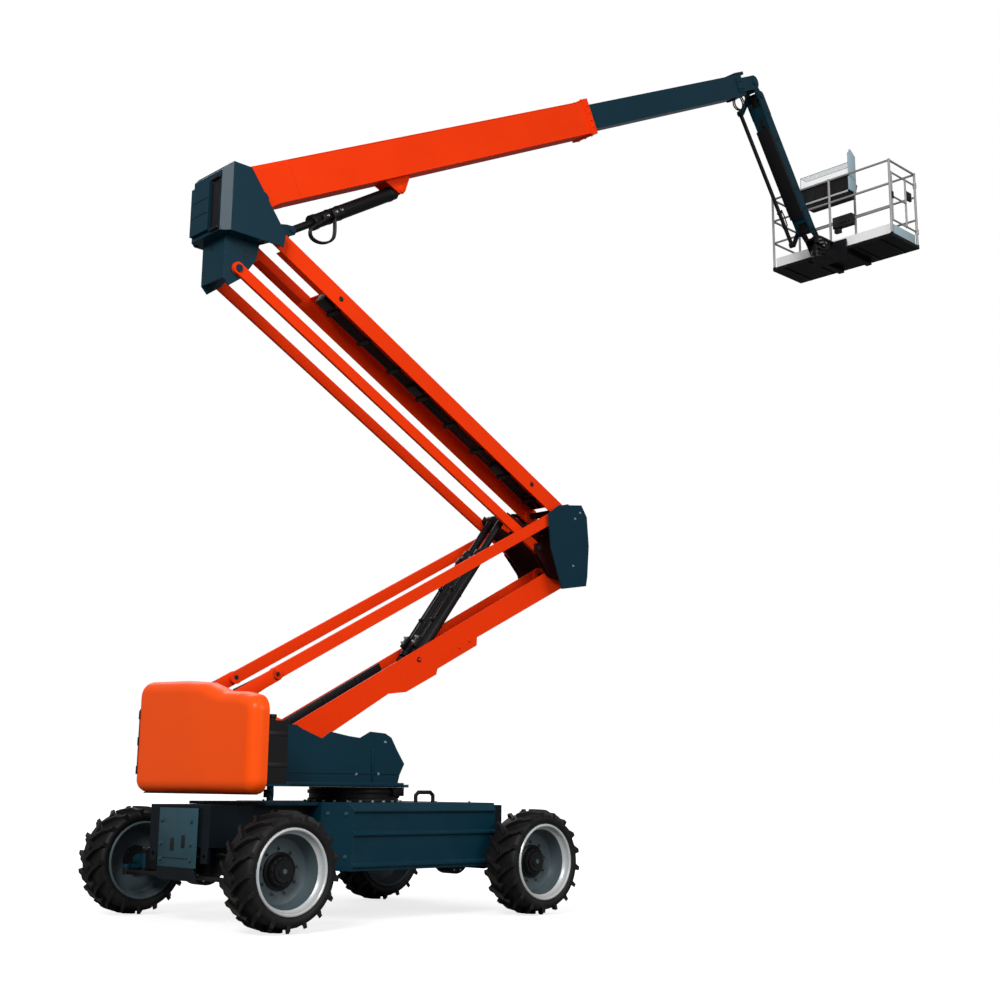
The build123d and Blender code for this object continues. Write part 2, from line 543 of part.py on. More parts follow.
def link_pair(foot, head, y):
    """Two equal flat bars, one on each side, with an eye at each end."""
    bars = []
    for side in (-1, 1):
        y0, y1 = side * y - LINK_THICKNESS / 2, side * y + LINK_THICKNESS / 2
        bar = strip(foot, head, LINK_DEPTH / 2, LINK_DEPTH / 2, y0, y1)
        for point in (foot, head):
            bar += pin(point, LINK_EYE, y0, y1)
            bar -= pin(point, SMALL_PIN + PIN_GAP, y0 - 1, y1 + 1)
        bars.append(bar)
    return Compound(children=bars)


def mid_link():
    """The knee: outer cheeks, a web behind the arm ends, and ears for the links and the cylinders."""
    foot, top, ear_at = LOWER_ARM_HEAD, UPPER_ARM_FOOT, UPPER_LINK_FOOT
    inner = MID_PLATE_Y - MID_PLATE
    front = [shift(foot, 195, -130), shift(foot, 214, -30), shift(foot, 238, 290), shift(top, 272, -40),
             shift(top, 190, 75), shift(top, -140, 30), shift(top, -300, -80)]
    near = front + [shift(foot, -320, 200), shift(foot, -160, -195)]
    far = front + [shift(foot, -240, 200), shift(foot, -120, 40), shift(foot, -70, -90)]
    body = plate(near, -MID_PLATE_Y, -inner) + plate(far, inner, MID_PLATE_Y)
    web = [shift(foot, 170, -80), shift(foot, 186, -80), shift(foot, 224, 290), shift(top, 254, -40),
           shift(top, 238, -40), shift(foot, 208, 290)]
    body += plate(web, -inner - 1, inner + 1)
    ear = [shift(ear_at, -65, -30), shift(ear_at, -20, -70), shift(ear_at, 170, -260), shift(foot, -40, -75),
           shift(foot, 60, -75), shift(foot, 195, 60), shift(foot, 220, 290), shift(ear_at, 60, 150)]
    crane = shift(RISER_CYLINDER_HEAD, -20, 52)
    inner_ear = ear + [crane, shift(RISER_CYLINDER_HEAD, -52, 0), shift(RISER_CYLINDER_HEAD, -25, -48)]
    outer_ear = ear + [shift(ear_at, 10, 65), shift(ear_at, -55, 40)]
    link_in, link_out = UPPER_LINK_Y - LINK_THICKNESS / 2, UPPER_LINK_Y + LINK_THICKNESS / 2
    for side in (-1, 1):
        ear_y = side * (LOWER_ARM_HALF_WIDTH + SIDE_GAP)
        body += plate(inner_ear, ear_y, side * (link_in - SIDE_GAP))
        body += plate(outer_ear, side * (link_out + SIDE_GAP), side * (link_out + SIDE_GAP + KNEE_EAR))
        body += pin(ear_at, SMALL_PIN, side * (link_in - SIDE_GAP - 5), side * (link_out + SIDE_GAP + 5))
        body += pin(LOWER_LINK_HEAD, SMALL_PIN, side * (LOWER_LINK_Y - LINK_THICKNESS / 2), side * MID_PLATE_Y)
        body += pin(LOWER_LINK_HEAD, 45, side * (LOWER_LINK_Y + LINK_THICKNESS / 2 + SIDE_GAP), side * (inner + 1))
        body += pin(foot, ARM_BOSS, ear_y, side * (inner + 1))
        body += pin(top, ARM_BOSS, side * (UPPER_ARM_HALF_WIDTH + SIDE_GAP), side * (inner + 1))
        # bosses either side of the cylinders' upper eyes
        body += pin(RISER_CYLINDER_HEAD, 38, side * (RISER_CYLINDER_Y + 38 + SIDE_GAP), ear_y + side)
    body += pin(foot, ARM_PIN, -MID_PLATE_Y, MID_PLATE_Y)
    return body + pin(top, ARM_PIN, -MID_PLATE_Y, MID_PLATE_Y)


# the upper arm's top plate, from and to along it from the knee: it ends short of the boom's cylinder
UPPER_ARM_TOP = (130, UPPER_ARM_LENGTH - 820)


def upper_arm():
    """A channel open on its underside, which folds down over the lower riser."""
    half, inner, depth = UPPER_ARM_HALF_WIDTH, UPPER_ARM_HALF_WIDTH - ARM_PLATE, UPPER_ARM_HALF_DEPTH
    walls = []
    for side in (-1, 1):
        wall = strip(UPPER_ARM_FOOT, UPPER_ARM_HEAD, depth, depth, side * inner, side * half)
        for point in (UPPER_ARM_FOOT, UPPER_ARM_HEAD):
            wall += pin(point, depth, side * (half - 40), side * half)
        walls.append(wall)
    arm = together(walls)
    start, end = UPPER_ARM_TOP
    corners = [along(UPPER_ARM_FOOT, UPPER_ARM_ANGLE, d, above) for d, above in
               ((start, depth), (end, depth), (end, depth - ARM_PLATE), (start, depth - ARM_PLATE))]
    arm += plate(corners, -inner - 1, inner + 1)
    for point in (UPPER_ARM_FOOT, UPPER_ARM_HEAD):
        arm -= pin(point, ARM_PIN + PIN_GAP, -half - 1, half + 1)
    return arm


def hydraulic(foot, head, y, barrel_radius, rod_radius, barrel_length, rod_from, eye, thickness):
    """One cylinder: a barrel with an eye on its foot pin, and a rod that ends in a solid eye.
    barrel_length and rod_from are distances from the foot pin."""
    angle = degrees(atan2(head[1] - foot[1], head[0] - foot[0]))

    def spot(distance):
        x, z = polar(foot, angle, distance)
        return (x, y, z)

    neck = eye * 0.8
    barrel = rod(spot(neck), spot(barrel_length), barrel_radius)
    barrel -= rod(spot(neck + 30), spot(barrel_length + 1), rod_radius + PIN_GAP)
    barrel += pin(foot, eye, y - thickness / 2, y + thickness / 2)
    barrel -= pin(foot, SMALL_PIN + PIN_GAP, y - thickness, y + thickness)
    tip_x, tip_z = polar(head, angle, -neck)
    piston_rod = rod(spot(rod_from), (tip_x, y, tip_z), rod_radius)
    return barrel, piston_rod + pin(head, eye, y - thickness / 2, y + thickness / 2)


def riser_cylinders():
    pairs = [hydraulic(RISER_CYLINDER_FOOT, RISER_CYLINDER_HEAD, side * RISER_CYLINDER_Y, RISER_BARREL_RADIUS,
                       RISER_ROD_RADIUS, 1390, 700, 45, 76) for side in (-1, 1)]
    return [Compound(children=[pair[i] for pair in pairs]) for i in (0, 1)]


HEAD_CHAMFER = 70.0      # the cut across the riser head's rear upright corners


def hood_walls(rear, front, half, wall):
    """Plan of the riser head's hood: a rear wall and two sides, with cut corners."""
    cut, thin = HEAD_CHAMFER, wall * 0.6
    outer = [(front, half), (rear + cut, half), (rear, half - cut)]
    inner = [(rear + wall, half - cut - thin), (rear + cut + thin, half - wall), (front, half - wall)]
    outline = outer + [(x, -y) for x, y in reversed(outer)] + [(x, -y) for x, y in reversed(inner)] + inner
    return Polyline(*[(x, y, 0) for x, y in outline], close=True)


def riser_head():
    """The upright at the top of the riser: a wide hood for the boom and a narrow foot for the links."""
    rear, front = UPPER_ARM_HEAD[0] - 530, UPPER_ARM_HEAD[0] + 120
    low, high = UPPER_ARM_HEAD[1] - 140, UPPER_ARM_HEAD[1] + 490
    half, foot_half, wall = HEAD_HALF_WIDTH, HEAD_FOOT_HALF_WIDTH, HEAD_PLATE
    foot_rear = rear + 90
    cheek = [(rear - 1, low), shift(UPPER_ARM_HEAD, 90, -140), shift(UPPER_ARM_HEAD, 110, -20),
             (UPPER_ARM_HEAD[0] - 275, high), (rear + 70, high), (rear - 1, high - 75)]
    walls = extrude(make_face(hood_walls(rear, front, half, wall)), amount=high - low + 2, dir=(0, 0, 1))
    body = walls.moved(Location((0, 0, low - 1))) & plate(cheek, -half - 1, half + 1)
    # the raised panel on the rear face, and the lip along the top
    body += block(rear - 28, rear + 1, -60, 215, low + 40, high - 150)
    body += block(rear + HEAD_CHAMFER, rear + 100, 1 - half, half - 1, high - wall, high)
    foot = [(foot_rear, low + 20), (foot_rear, low - 390), (foot_rear + 60, low - 450),
            (UPPER_LINK_HEAD[0] + 60, low - 345), (UPPER_LINK_HEAD[0] + 190, low - 150),
            (UPPER_LINK_HEAD[0] + 220, low + 20)]
    body += block(foot_rear, foot_rear + wall, 1 - foot_half, foot_half - 1, low - 390, low + 20)
    body += block(rear + 5, UPPER_ARM_HEAD[0] - 130, 60 - half, half - 60, low, low + wall)
    link_in, link_out = UPPER_LINK_Y - LINK_THICKNESS / 2, UPPER_LINK_Y + LINK_THICKNESS / 2
    for side in (-1, 1):
        body += plate(foot, side * (foot_half - wall), side * foot_half)
        body += block(foot_rear, UPPER_ARM_HEAD[0] - 130, side * (half - 70), side * (half - 1), low, low + wall)
        body += pin(UPPER_LINK_HEAD, SMALL_PIN, side * (link_in - 5), side * (link_out + SIDE_GAP + 1))
        body += pin(UPPER_LINK_HEAD, 34, side * (link_out + SIDE_GAP), side * (link_out + SIDE_GAP + 8))
        body += pin(UPPER_ARM_HEAD, ARM_BOSS, side * (UPPER_ARM_HALF_WIDTH + SIDE_GAP), side * (half - 1))
        body += pin(BOOM_FOOT, ARM_BOSS, side * (BOOM_WIDTH / 2 + BOOM_EAR + SIDE_GAP), side * (half - 1))
        lug = [(rear + 1, low + 60), shift(UPPER_ARM_HEAD, -60, -60), shift(UPPER_ARM_HEAD, 40, -50),
               shift(BOOM_CYLINDER_FOOT, 30, -40), shift(BOOM_CYLINDER_FOOT, 42, 0), shift(BOOM_CYLINDER_FOOT, 20, 36),
               shift(BOOM_CYLINDER_FOOT, -60, 32), (rear + 1, low + 160)]
        body += plate(lug, side * LIFT_FOOT_LUG, side * (LIFT_FOOT_LUG + LIFT_LUG))
        body += pin(BOOM_CYLINDER_FOOT, 32, side * (LIFT_FOOT_LUG + 5), side * (LIFT_FOOT_LUG + LIFT_LUG + 12))
    body += pin(UPPER_ARM_HEAD, ARM_PIN, -half, half)
    return body + pin(BOOM_FOOT, ARM_PIN, -half, half)


# ---- boom -------------------------------------------------------------------------------
def tube(start, angle, d0, d1, depth, width, wall):
    """A square tube along the boom line between two distances."""
    a, b = polar(start, angle, d0), polar(start, angle, d1)
    outer = strip(a, b, depth / 2, depth / 2, -width / 2, width / 2)
    hollow = depth / 2 - wall
    return outer - strip(a, b, hollow, hollow, -width / 2 + wall, width / 2 - wall, 1, 1)


def primary_boom():
    """The outer boom tube, its pivot cheeks, front collar and cylinder bracket."""
    boom = tube(BOOM_START, BOOM_ANGLE, BOOM_TUBE_START, BOOM_TUBE_END, BOOM_DEPTH, BOOM_WIDTH, BOOM_WALL)
    boom += tube(BOOM_START, BOOM_ANGLE, BOOM_TUBE_END - 90, BOOM_TUBE_END, BOOM_DEPTH + 36, BOOM_WIDTH + 36,
                 18 + BOOM_WALL)
    lug = [along(BOOM_START, BOOM_ANGLE, *spot) for spot in
           ((1790, -BOOM_DEPTH / 2 + 2), (2150, -BOOM_DEPTH / 2 + 2), (2010, -BOOM_CYLINDER_DROP - 25),
            (1970, -BOOM_CYLINDER_DROP - 45), (1920, -BOOM_CYLINDER_DROP - 30))]
    cheek = [along(BOOM_START, BOOM_ANGLE, *spot) for spot in
             ((60, -75), (190, 150), (640, 150), (640, -BOOM_DEPTH / 2), (400, -BOOM_DEPTH / 2), (150, -219))]
    for side in (-1, 1):
        y0, y1 = side * (BOOM_WIDTH / 2 - 8), side * (BOOM_WIDTH / 2 + BOOM_EAR)
        boom += plate(cheek, y0, y1) + pin(BOOM_FOOT, 100, y0, y1)
        boom += plate(lug, side * LIFT_HEAD_LUG, side * (LIFT_HEAD_LUG + LIFT_LUG))
    boom -= pin(BOOM_FOOT, ARM_PIN + PIN_GAP, -BOOM_WIDTH, BOOM_WIDTH)
    reach = LIFT_HEAD_LUG + LIFT_LUG
    return boom + pin(BOOM_CYLINDER_HEAD, SMALL_PIN, -reach, reach)


def wear_pads():
    """Plastic pads inside the boom's mouth that the extension slides on."""
    a, b = [polar(BOOM_START, BOOM_ANGLE, BOOM_TUBE_END - d) for d in (190, 30)]
    inner_z, outer_z = EXTENSION_DEPTH / 2 + SEAT_GAP, BOOM_DEPTH / 2 - BOOM_WALL - SEAT_GAP
    inner_y, outer_y = EXTENSION_WIDTH / 2 + SEAT_GAP, BOOM_WIDTH / 2 - BOOM_WALL - SEAT_GAP
    pads = [strip(a, b, -inner_z, outer_z, -60, 60), strip(a, b, outer_z, -inner_z, -60, 60)]
    pads += [strip(a, b, 90, 90, side * inner_y, side * outer_y) for side in (-1, 1)]
    return Compound(children=pads)


def boom_cylinder():
    """The lift cylinder: its barrel hangs from the boom bracket, its rod reaches the riser head."""
    return hydraulic(BOOM_CYLINDER_HEAD, BOOM_CYLINDER_FOOT, 0, LIFT_BARREL_RADIUS, LIFT_ROD_RADIUS, 1170, 310, 42, 76)


def extension_boom():
    """The sliding inner tube with the ears that carry the jib's head."""
    tip = HEAD_PIVOT_DISTANCE - 260
    body = tube(BOOM_START, BOOM_ANGLE, BOOM_TUBE_END - EXTENSION_INSIDE, tip, EXTENSION_DEPTH, EXTENSION_WIDTH,
                EXTENSION_WALL)
    for side in (-1, 1):
        y0, y1 = side * (EXTENSION_WIDTH / 2 - 8), side * (EXTENSION_WIDTH / 2 + BOOM_EAR)
        body += strip(polar(BOOM_START, BOOM_ANGLE, tip - 150), HEAD_PIVOT, 90, 90, y0, y1)
        body += pin(HEAD_PIVOT, 90, y0, y1)
    return body + pin(HEAD_PIVOT, ARM_PIN, -EXTENSION_WIDTH / 2 - BOOM_EAR, EXTENSION_WIDTH / 2 + BOOM_EAR)


# ---- jib --------------------------------------------------------------------------------
BRACKET_Y = EXTENSION_WIDTH / 2 - 8 - SIDE_GAP       # outer face of both levelled brackets' plates
BRACKET_PLATE = 16.0
JIB_EAR_IN = BRACKET_Y + SIDE_GAP
JIB_EAR_OUT = JIB_EAR_IN + 16
JIB_TUBE_INSET = 120.0                               # pivot to the end of the jib's tube
JIB_BOSS = JIB_DEPTH / 2 - 6
ROD_PLATE_IN = JIB_EAR_OUT + 10
ROD_PLATE_OUT = ROD_PLATE_IN + 10
ROD_BOSS = 38.0


def bracket_plates(outline):
    """A pair of equal plates facing each other across the centre line."""
    return plate(outline, BRACKET_Y - BRACKET_PLATE, BRACKET_Y) + plate(outline, -BRACKET_Y, BRACKET_PLATE - BRACKET_Y)


def rod_arm(foot, rod_foot):
    """The outboard plate and pin that carry one end of the parallel rod, on the far side."""
    arm = strip(foot, rod_foot, ROD_BOSS, ROD_BOSS, ROD_PLATE_IN, ROD_PLATE_OUT)
    arm += pin(foot, ROD_BOSS + 10, ROD_PLATE_IN, ROD_PLATE_OUT) + pin(rod_foot, ROD_BOSS, ROD_PLATE_IN, ROD_PLATE_OUT)
    arm += pin(foot, SMALL_PIN, -JIB_EAR_OUT - 4, ROD_PLATE_OUT)
    return arm + pin(rod_foot, SMALL_PIN, ROD_PLATE_IN, JIB_ROD_Y + JIB_ROD_RADIUS)


def jib_head():
    """The levelled bracket at the boom tip: it turns on the extension and carries jib and rod."""
    body = None
    for side in (-1, 1):
        y0, y1 = side * (BRACKET_Y - BRACKET_PLATE), side * BRACKET_Y
        cheek = strip(HEAD_PIVOT, JIB_FOOT, 58, 58, y0, y1)
        cheek += pin(HEAD_PIVOT, 72, y0, y1) + pin(JIB_FOOT, 58, y0, y1)
        body = cheek if body is None else body + cheek
    spacer = polar(HEAD_PIVOT, -43.6, 100)
    body += pin(spacer, 30, -BRACKET_Y + 1, BRACKET_Y - 1)
    body -= pin(HEAD_PIVOT, ARM_PIN + PIN_GAP, -BRACKET_Y - 1, BRACKET_Y + 1)
    return body + rod_arm(JIB_FOOT, JIB_ROD_FOOT)


def jib():
    """A square tube with a pair of ears at each end."""
    body = tube(JIB_FOOT, JIB_ANGLE, JIB_TUBE_INSET, JIB_LENGTH - JIB_TUBE_INSET, JIB_DEPTH, JIB_WIDTH, 8)
    for side in (-1, 1):
        y0, y1 = side * JIB_EAR_IN, side * JIB_EAR_OUT
        for end, angle in ((JIB_FOOT, JIB_ANGLE), (JIB_HEAD, JIB_ANGLE + 180)):
            body += strip(end, polar(end, angle, JIB_TUBE_INSET + 160), JIB_BOSS, JIB_BOSS, y0, y1)
            body += pin(end, JIB_BOSS, y0, y1)
    for end in (JIB_FOOT, JIB_HEAD):
        body -= pin(end, SMALL_PIN + PIN_GAP, -JIB_EAR_OUT - 1, JIB_EAR_OUT + 1)
    return body


def jib_rod():
    """The round parallel rod beside the jib that keeps the platform bracket level."""
    low, high = ROD_PLATE_OUT + SIDE_GAP, JIB_ROD_Y + JIB_ROD_RADIUS
    bar = rod((JIB_ROD_FOOT[0], JIB_ROD_Y, JIB_ROD_FOOT[1]), (JIB_ROD_HEAD[0], JIB_ROD_Y, JIB_ROD_HEAD[1]),
              JIB_ROD_RADIUS - 1)
    for end in (JIB_ROD_FOOT, JIB_ROD_HEAD):
        bar += pin(end, ROD_BOSS, low, high)
        bar -= pin(end, SMALL_PIN + PIN_GAP, low - 1, high + 1)
    return bar


# ---- platform ---------------------------------------------------------------------------
HOUSING_LOW = ROTATOR_Z - ROTATOR_HEIGHT / 2
HOUSING_HIGH = ROTATOR_Z + ROTATOR_HEIGHT / 2
FORK_DISC = 25.0
FLOOR_TOP = PLATFORM_Z + FLOOR_THICKNESS
RAIL_TOP = PLATFORM_Z + PLATFORM_HEIGHT
PLATFORM_FRONT_X = PLATFORM_REAR_X + PLATFORM_DEPTH
PLATFORM_HALF_WIDTH = PLATFORM_WIDTH / 2
RAIL_LEVELS = (0.36, 0.68, 1.0)      # shares of the height between the floor and the top rail
TOE_BOARD = 150.0


def platform_bracket():
    """The levelled bracket at the jib's end, with the housing that the platform turns in."""
    outline = [shift(JIB_HEAD, -45, 40), shift(JIB_HEAD, 10, 62), shift(JIB_HEAD, 90, 45),
               (ROTATOR_X - 85, HOUSING_HIGH - 5), (ROTATOR_X - 40, HOUSING_HIGH - 5),
               (ROTATOR_X - 40, HOUSING_LOW + 20), shift(JIB_HEAD, 110, -115), shift(JIB_HEAD, 20, -62),
               shift(JIB_HEAD, -45, -40)]
    body = bracket_plates(outline)
    body += upright(ROTATOR_X, 0, HOUSING_LOW, HOUSING_HIGH, ROTATOR_RADIUS)
    body += block(JIB_HEAD[0] + 90, ROTATOR_X - 40, 1 - BRACKET_Y, BRACKET_Y - 1, ROTATOR_Z + 50, ROTATOR_Z + 80)
    body -= upright(ROTATOR_X, 0, HOUSING_LOW - 1, HOUSING_HIGH + 1, ROTATOR_PIN + PIN_GAP)
    return body + rod_arm(JIB_HEAD, JIB_ROD_HEAD)


def platform_mount():
    """The fork round the rotator housing, with arms that run under the platform floor."""
    bottom, top = HOUSING_LOW - SIDE_GAP - FORK_DISC, HOUSING_HIGH + SIDE_GAP + FORK_DISC
    plate_x = PLATFORM_REAR_X - POST_RADIUS - SEAT_GAP - 30
    body = upright(ROTATOR_X, 0, bottom, top, ROTATOR_PIN)
    for z0 in (bottom, top - FORK_DISC):
        body += upright(ROTATOR_X, 0, z0, z0 + FORK_DISC, 74)
        body += block(ROTATOR_X, plate_x, -75, 75, z0, z0 + FORK_DISC)
    body += block(plate_x, plate_x + 30, -260, 260, bottom, top)
    under = PLATFORM_Z - SEAT_GAP
    for side in (-1, 1):
        body += block(plate_x, PLATFORM_FRONT_X - 60, side * 180, side * 260, under - 60, under)
    return body


def platform_floor():
    """The floor with toe boards on all sides but the gate's."""
    x0, x1, half = PLATFORM_REAR_X, PLATFORM_FRONT_X, PLATFORM_HALF_WIDTH
    board = POST_RADIUS + 5
    floor = block(x0 - POST_RADIUS, x1 + POST_RADIUS, -half - POST_RADIUS, half + POST_RADIUS, PLATFORM_Z, FLOOR_TOP)
    high = FLOOR_TOP + TOE_BOARD
    floor += block(x0 + board, x0 + board + 4, -half + board, half - board, FLOOR_TOP - 1, high)
    floor += block(x1 - board - 4, x1 - board, -half + board, half - board, FLOOR_TOP - 1, high)
    return floor + block(x0 + board, x1 - board, half - board - 4, half - board, FLOOR_TOP - 1, high)


def platform_rails():
    """The tubular cage: six posts, three rails on the long sides and the far end, one over the gate."""
    x0, x1, half = PLATFORM_REAR_X, PLATFORM_FRONT_X, PLATFORM_HALF_WIDTH
    base = FLOOR_TOP + SEAT_GAP
    posts = [upright(x, y, base, RAIL_TOP, POST_RADIUS) for x in (x0, x1) for y in (-half, 0, half)]
    rails = [rod((x0, -half, RAIL_TOP - RAIL_RADIUS - 2), (x1, -half, RAIL_TOP - RAIL_RADIUS - 2), RAIL_RADIUS)]
    for level in RAIL_LEVELS:
        z = base + (RAIL_TOP - RAIL_RADIUS - 2 - base) * level
        rails += [rod((x, -half, z), (x, half, z), RAIL_RADIUS) for x in (x0, x1)]
        rails += [rod((x0, half, z), (x1, half, z), RAIL_RADIUS)]
    return together(posts + rails)


def platform_gate():
    """The swing gate at the near end: two sleeves on the front post, bars and uprights."""
    y, low, high = -PLATFORM_HALF_WIDTH, FLOOR_TOP + 200, FLOOR_TOP + 880
    hinge, latch = PLATFORM_FRONT_X, PLATFORM_REAR_X + POST_RADIUS + 24
    sleeve = POST_RADIUS + PIN_GAP
    bars = [rod((latch, y, z), (hinge - sleeve - 3, y, z), GATE_RADIUS) for z in (low, high)]
    bars += [rod((latch, y, (low + high) / 2), (hinge - 260, y, (low + high) / 2), GATE_RADIUS)]
    bars += [upright(x, y, low - 15, high + 15, GATE_RADIUS + 1) for x in (latch, hinge - 260)]
    for z in (low, high):
        bars.append(upright(hinge, y, z - 30, z + 30, sleeve + 8))
    gate = together(bars)
    for z in (low, high):
        gate -= upright(hinge, y, z - 31, z + 31, sleeve)
    return gate


def control_console():
    """The control box on the rail beside the jib, with a shield at each end."""
    x0 = PLATFORM_REAR_X + POST_RADIUS + SEAT_GAP
    profile = [(x0, RAIL_TOP - 235), (x0 + 200, RAIL_TOP - 210), (x0 + 230, RAIL_TOP - 110), (x0, RAIL_TOP - 20)]
    shield = [(x0, RAIL_TOP - 235), (x0 + 180, RAIL_TOP - 215), (x0 + 180, RAIL_TOP + 300), (x0 + 60, RAIL_TOP + 380),
              (x0, RAIL_TOP + 300)]
    console = plate(profile, -300, 480)
    return console + plate(shield, -308, -299)


def main():
    barrels, rods = riser_cylinders()
    lift_barrel, lift_rod = boom_cylinder()
    made = {
        "chassis_frame": chassis_frame(), "side_covers": side_covers(), "slew_bearing": slew_bearing(),
        "steer_axle": steer_axle(), "drive_axle": drive_axle(),
        "knuckle_near": knuckle(-1), "knuckle_far": knuckle(1), "tie_rod": tie_rod(),
        "turntable_frame": turntable_frame(), "rear_cowl": rear_cowl(), "counterweight": counterweight(),
        "hydraulic_tank": hydraulic_tank(), "engine_hood": engine_hood(), "engine_door": engine_door(),
        "engine": engine(), "lower_arm": lower_arm(),
        "lower_links": link_pair(LOWER_LINK_FOOT, LOWER_LINK_HEAD, LOWER_LINK_Y), "mid_link": mid_link(),
        "upper_arm": upper_arm(), "upper_links": link_pair(UPPER_LINK_FOOT, UPPER_LINK_HEAD, UPPER_LINK_Y),
        "riser_cylinder_barrels": barrels, "riser_cylinder_rods": rods, "riser_head": riser_head(),
        "primary_boom": primary_boom(), "wear_pads": wear_pads(), "boom_cylinder_barrel": lift_barrel,
        "boom_cylinder_rod": lift_rod, "extension_boom": extension_boom(), "jib_head": jib_head(), "jib": jib(),
        "jib_rod": jib_rod(), "platform_bracket": platform_bracket(), "platform_mount": platform_mount(),
        "platform_floor": platform_floor(), "platform_rails": platform_rails(), "platform_gate": platform_gate(),
        "control_console": control_console(),
    }
    for end, end_name in ((-1, "rear"), (1, "front")):
        for side, side_name in ((-1, "near"), (1, "far")):
            made[f"tyre_{end_name}_{side_name}"] = tyre(end, side)
            made[f"rim_{end_name}_{side_name}"] = rim(end, side)
    for name, shape in made.items():
        export_step(shape, f"parts/{name}.step")


main()
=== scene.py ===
"""Articulating boom lift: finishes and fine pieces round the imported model.
Laid out as an add-on and run as a script. Metres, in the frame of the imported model."""

import json
import math
import random

import bmesh
import bpy
from bpy.props import FloatProperty, FloatVectorProperty, IntProperty, PointerProperty
from mathutils import Matrix, Vector


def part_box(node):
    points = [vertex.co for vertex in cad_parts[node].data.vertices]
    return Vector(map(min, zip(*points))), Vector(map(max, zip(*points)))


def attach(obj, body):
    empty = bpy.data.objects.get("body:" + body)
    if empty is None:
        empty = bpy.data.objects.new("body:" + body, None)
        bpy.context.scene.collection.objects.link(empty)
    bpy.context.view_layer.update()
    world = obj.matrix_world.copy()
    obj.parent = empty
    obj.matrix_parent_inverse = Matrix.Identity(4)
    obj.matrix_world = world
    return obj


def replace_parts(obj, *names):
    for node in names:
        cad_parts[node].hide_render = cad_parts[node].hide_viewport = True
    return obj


bl_info = {
    "name": "Articulating boom lift",
    "version": (1, 0, 0),
    "blender": (4, 5, 0),
    "location": "View3D > Sidebar > Boom lift",
    "description": "Finishes and fine pieces for a self-propelled boom lift",
    "category": "Add Mesh",
}

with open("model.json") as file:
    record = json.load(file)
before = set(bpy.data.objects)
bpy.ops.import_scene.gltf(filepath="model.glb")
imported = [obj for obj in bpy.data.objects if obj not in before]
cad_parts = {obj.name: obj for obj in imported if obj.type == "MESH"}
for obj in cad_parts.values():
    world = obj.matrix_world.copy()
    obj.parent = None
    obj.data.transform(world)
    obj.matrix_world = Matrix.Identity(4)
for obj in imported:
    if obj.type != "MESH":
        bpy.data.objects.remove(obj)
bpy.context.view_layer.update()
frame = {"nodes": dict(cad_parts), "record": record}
JOINTS = {joint["name"]: joint for joint in frame["record"]["behaviour"]["joints"]}
AT = {name: Vector(joint["pos_m"]) for name, joint in JOINTS.items() if "pos_m" in joint}
ACROSS = Vector((0, 1, 0))
UP = Vector((0, 0, 1))
HERE = Matrix.Identity(4)
BOTH = (-1, 1)
ENDS = (("rear", -1), ("front", 1))
SIDES = (("near", -1), ("far", 1))


# ---- settings ---------------------------------------------------------------------------
def colour(label, words, value):
    return FloatVectorProperty(name=label, description=words, default=value, subtype="COLOR", size=3, min=0,
                               max=1)


def length(label, words, value):
    return FloatProperty(name=label, description=words, default=value, unit="LENGTH", subtype="DISTANCE",
                         min=0)


class LiftColours(bpy.types.PropertyGroup):
    boom: colour("Boom paint", "Booms, riser arms and links", (0.84, 0.040, 0.0030))
    tail: colour("Tail paint", "Tail cover and engine covers", (0.93, 0.082, 0.003))
    frame: colour("Frame paint", "Chassis, turntable, riser head and jib", (0.0016, 0.025, 0.041))
    dark: colour("Dark parts", "Cylinders, axles and the platform's base", (0.006, 0.006, 0.007))
    rails: colour("Rail paint", "Guard rails, posts and gate", (0.33, 0.315, 0.31))
    toe: colour("Toe boards", "Toe boards round the platform", (0.92, 0.91, 0.91))
    wheel: colour("Wheel paint", "Rim lips and switch panels", (0.52, 0.54, 0.54))
    # the inside of the rims is darker than the lips: painted shade of the deep dish
    barrel: colour("Wheel disc", "The inside of the rims", (0.055, 0.078, 0.088))
    rubber: colour("Rubber", "Tyres", (0.004, 0.004, 0.0043))


class LiftSizes(bpy.types.PropertyGroup):
    lug_width: length("Lug width", "Width of one tread lug along the tread", 0.036)
    bolt: length("Bolt head", "Radius of a usual bolt head", 0.013)
    hose: length("Hose", "Outside diameter of a hydraulic hose", 0.022)
    lugs: IntProperty(name="Lugs", description="Tread lugs on each half of a tyre", default=17, min=4, max=60)


class LiftSettings(bpy.types.PropertyGroup):
    colours: PointerProperty(type=LiftColours, name="Colours", description="Paint and rubber colours")
    sizes: PointerProperty(type=LiftSizes, name="Sizes", description="Sizes of the fine pieces")


# ---- shader nodes -----------------------------------------------------------------------
def feed(tree, socket, value):
    """Link an input from a socket, or set it to a number or an (r, g, b)."""
    if isinstance(value, bpy.types.NodeSocket):
        tree.links.new(value, socket)
    else:
        socket.default_value = (*value, 1) if hasattr(value, "__len__") else value


def set_inputs(tree, node, **inputs):
    """Feed a node's inputs by name, with _ for a space."""
    for label, value in inputs.items():
        feed(tree, node.inputs[label.replace("_", " ")], value)
    return node


def add_node(tree, kind, **inputs):
    return set_inputs(tree, tree.nodes.new("ShaderNode" + kind), **inputs)


def math_node(tree, operation, a, b=0.0, clamp=False):
    node = add_node(tree, "Math")
    node.operation, node.use_clamp = operation, clamp
    feed(tree, node.inputs[0], a)
    feed(tree, node.inputs[1], b)
    return node.outputs[0]


def noise_node(tree, coordinates, scale, detail, rough=0.55):
    noise = add_node(tree, "TexNoise", Vector=coordinates, Scale=scale, Detail=detail, Roughness=rough)
    return noise.outputs["Fac"]


def ramp_node(tree, value, low, high):
    """0 below low, 1 above high, and a smooth rise between."""
    node = add_node(tree, "MapRange", Value=value, From_Min=low, From_Max=high)
    node.interpolation_type = "SMOOTHSTEP"
    return node.outputs["Result"]


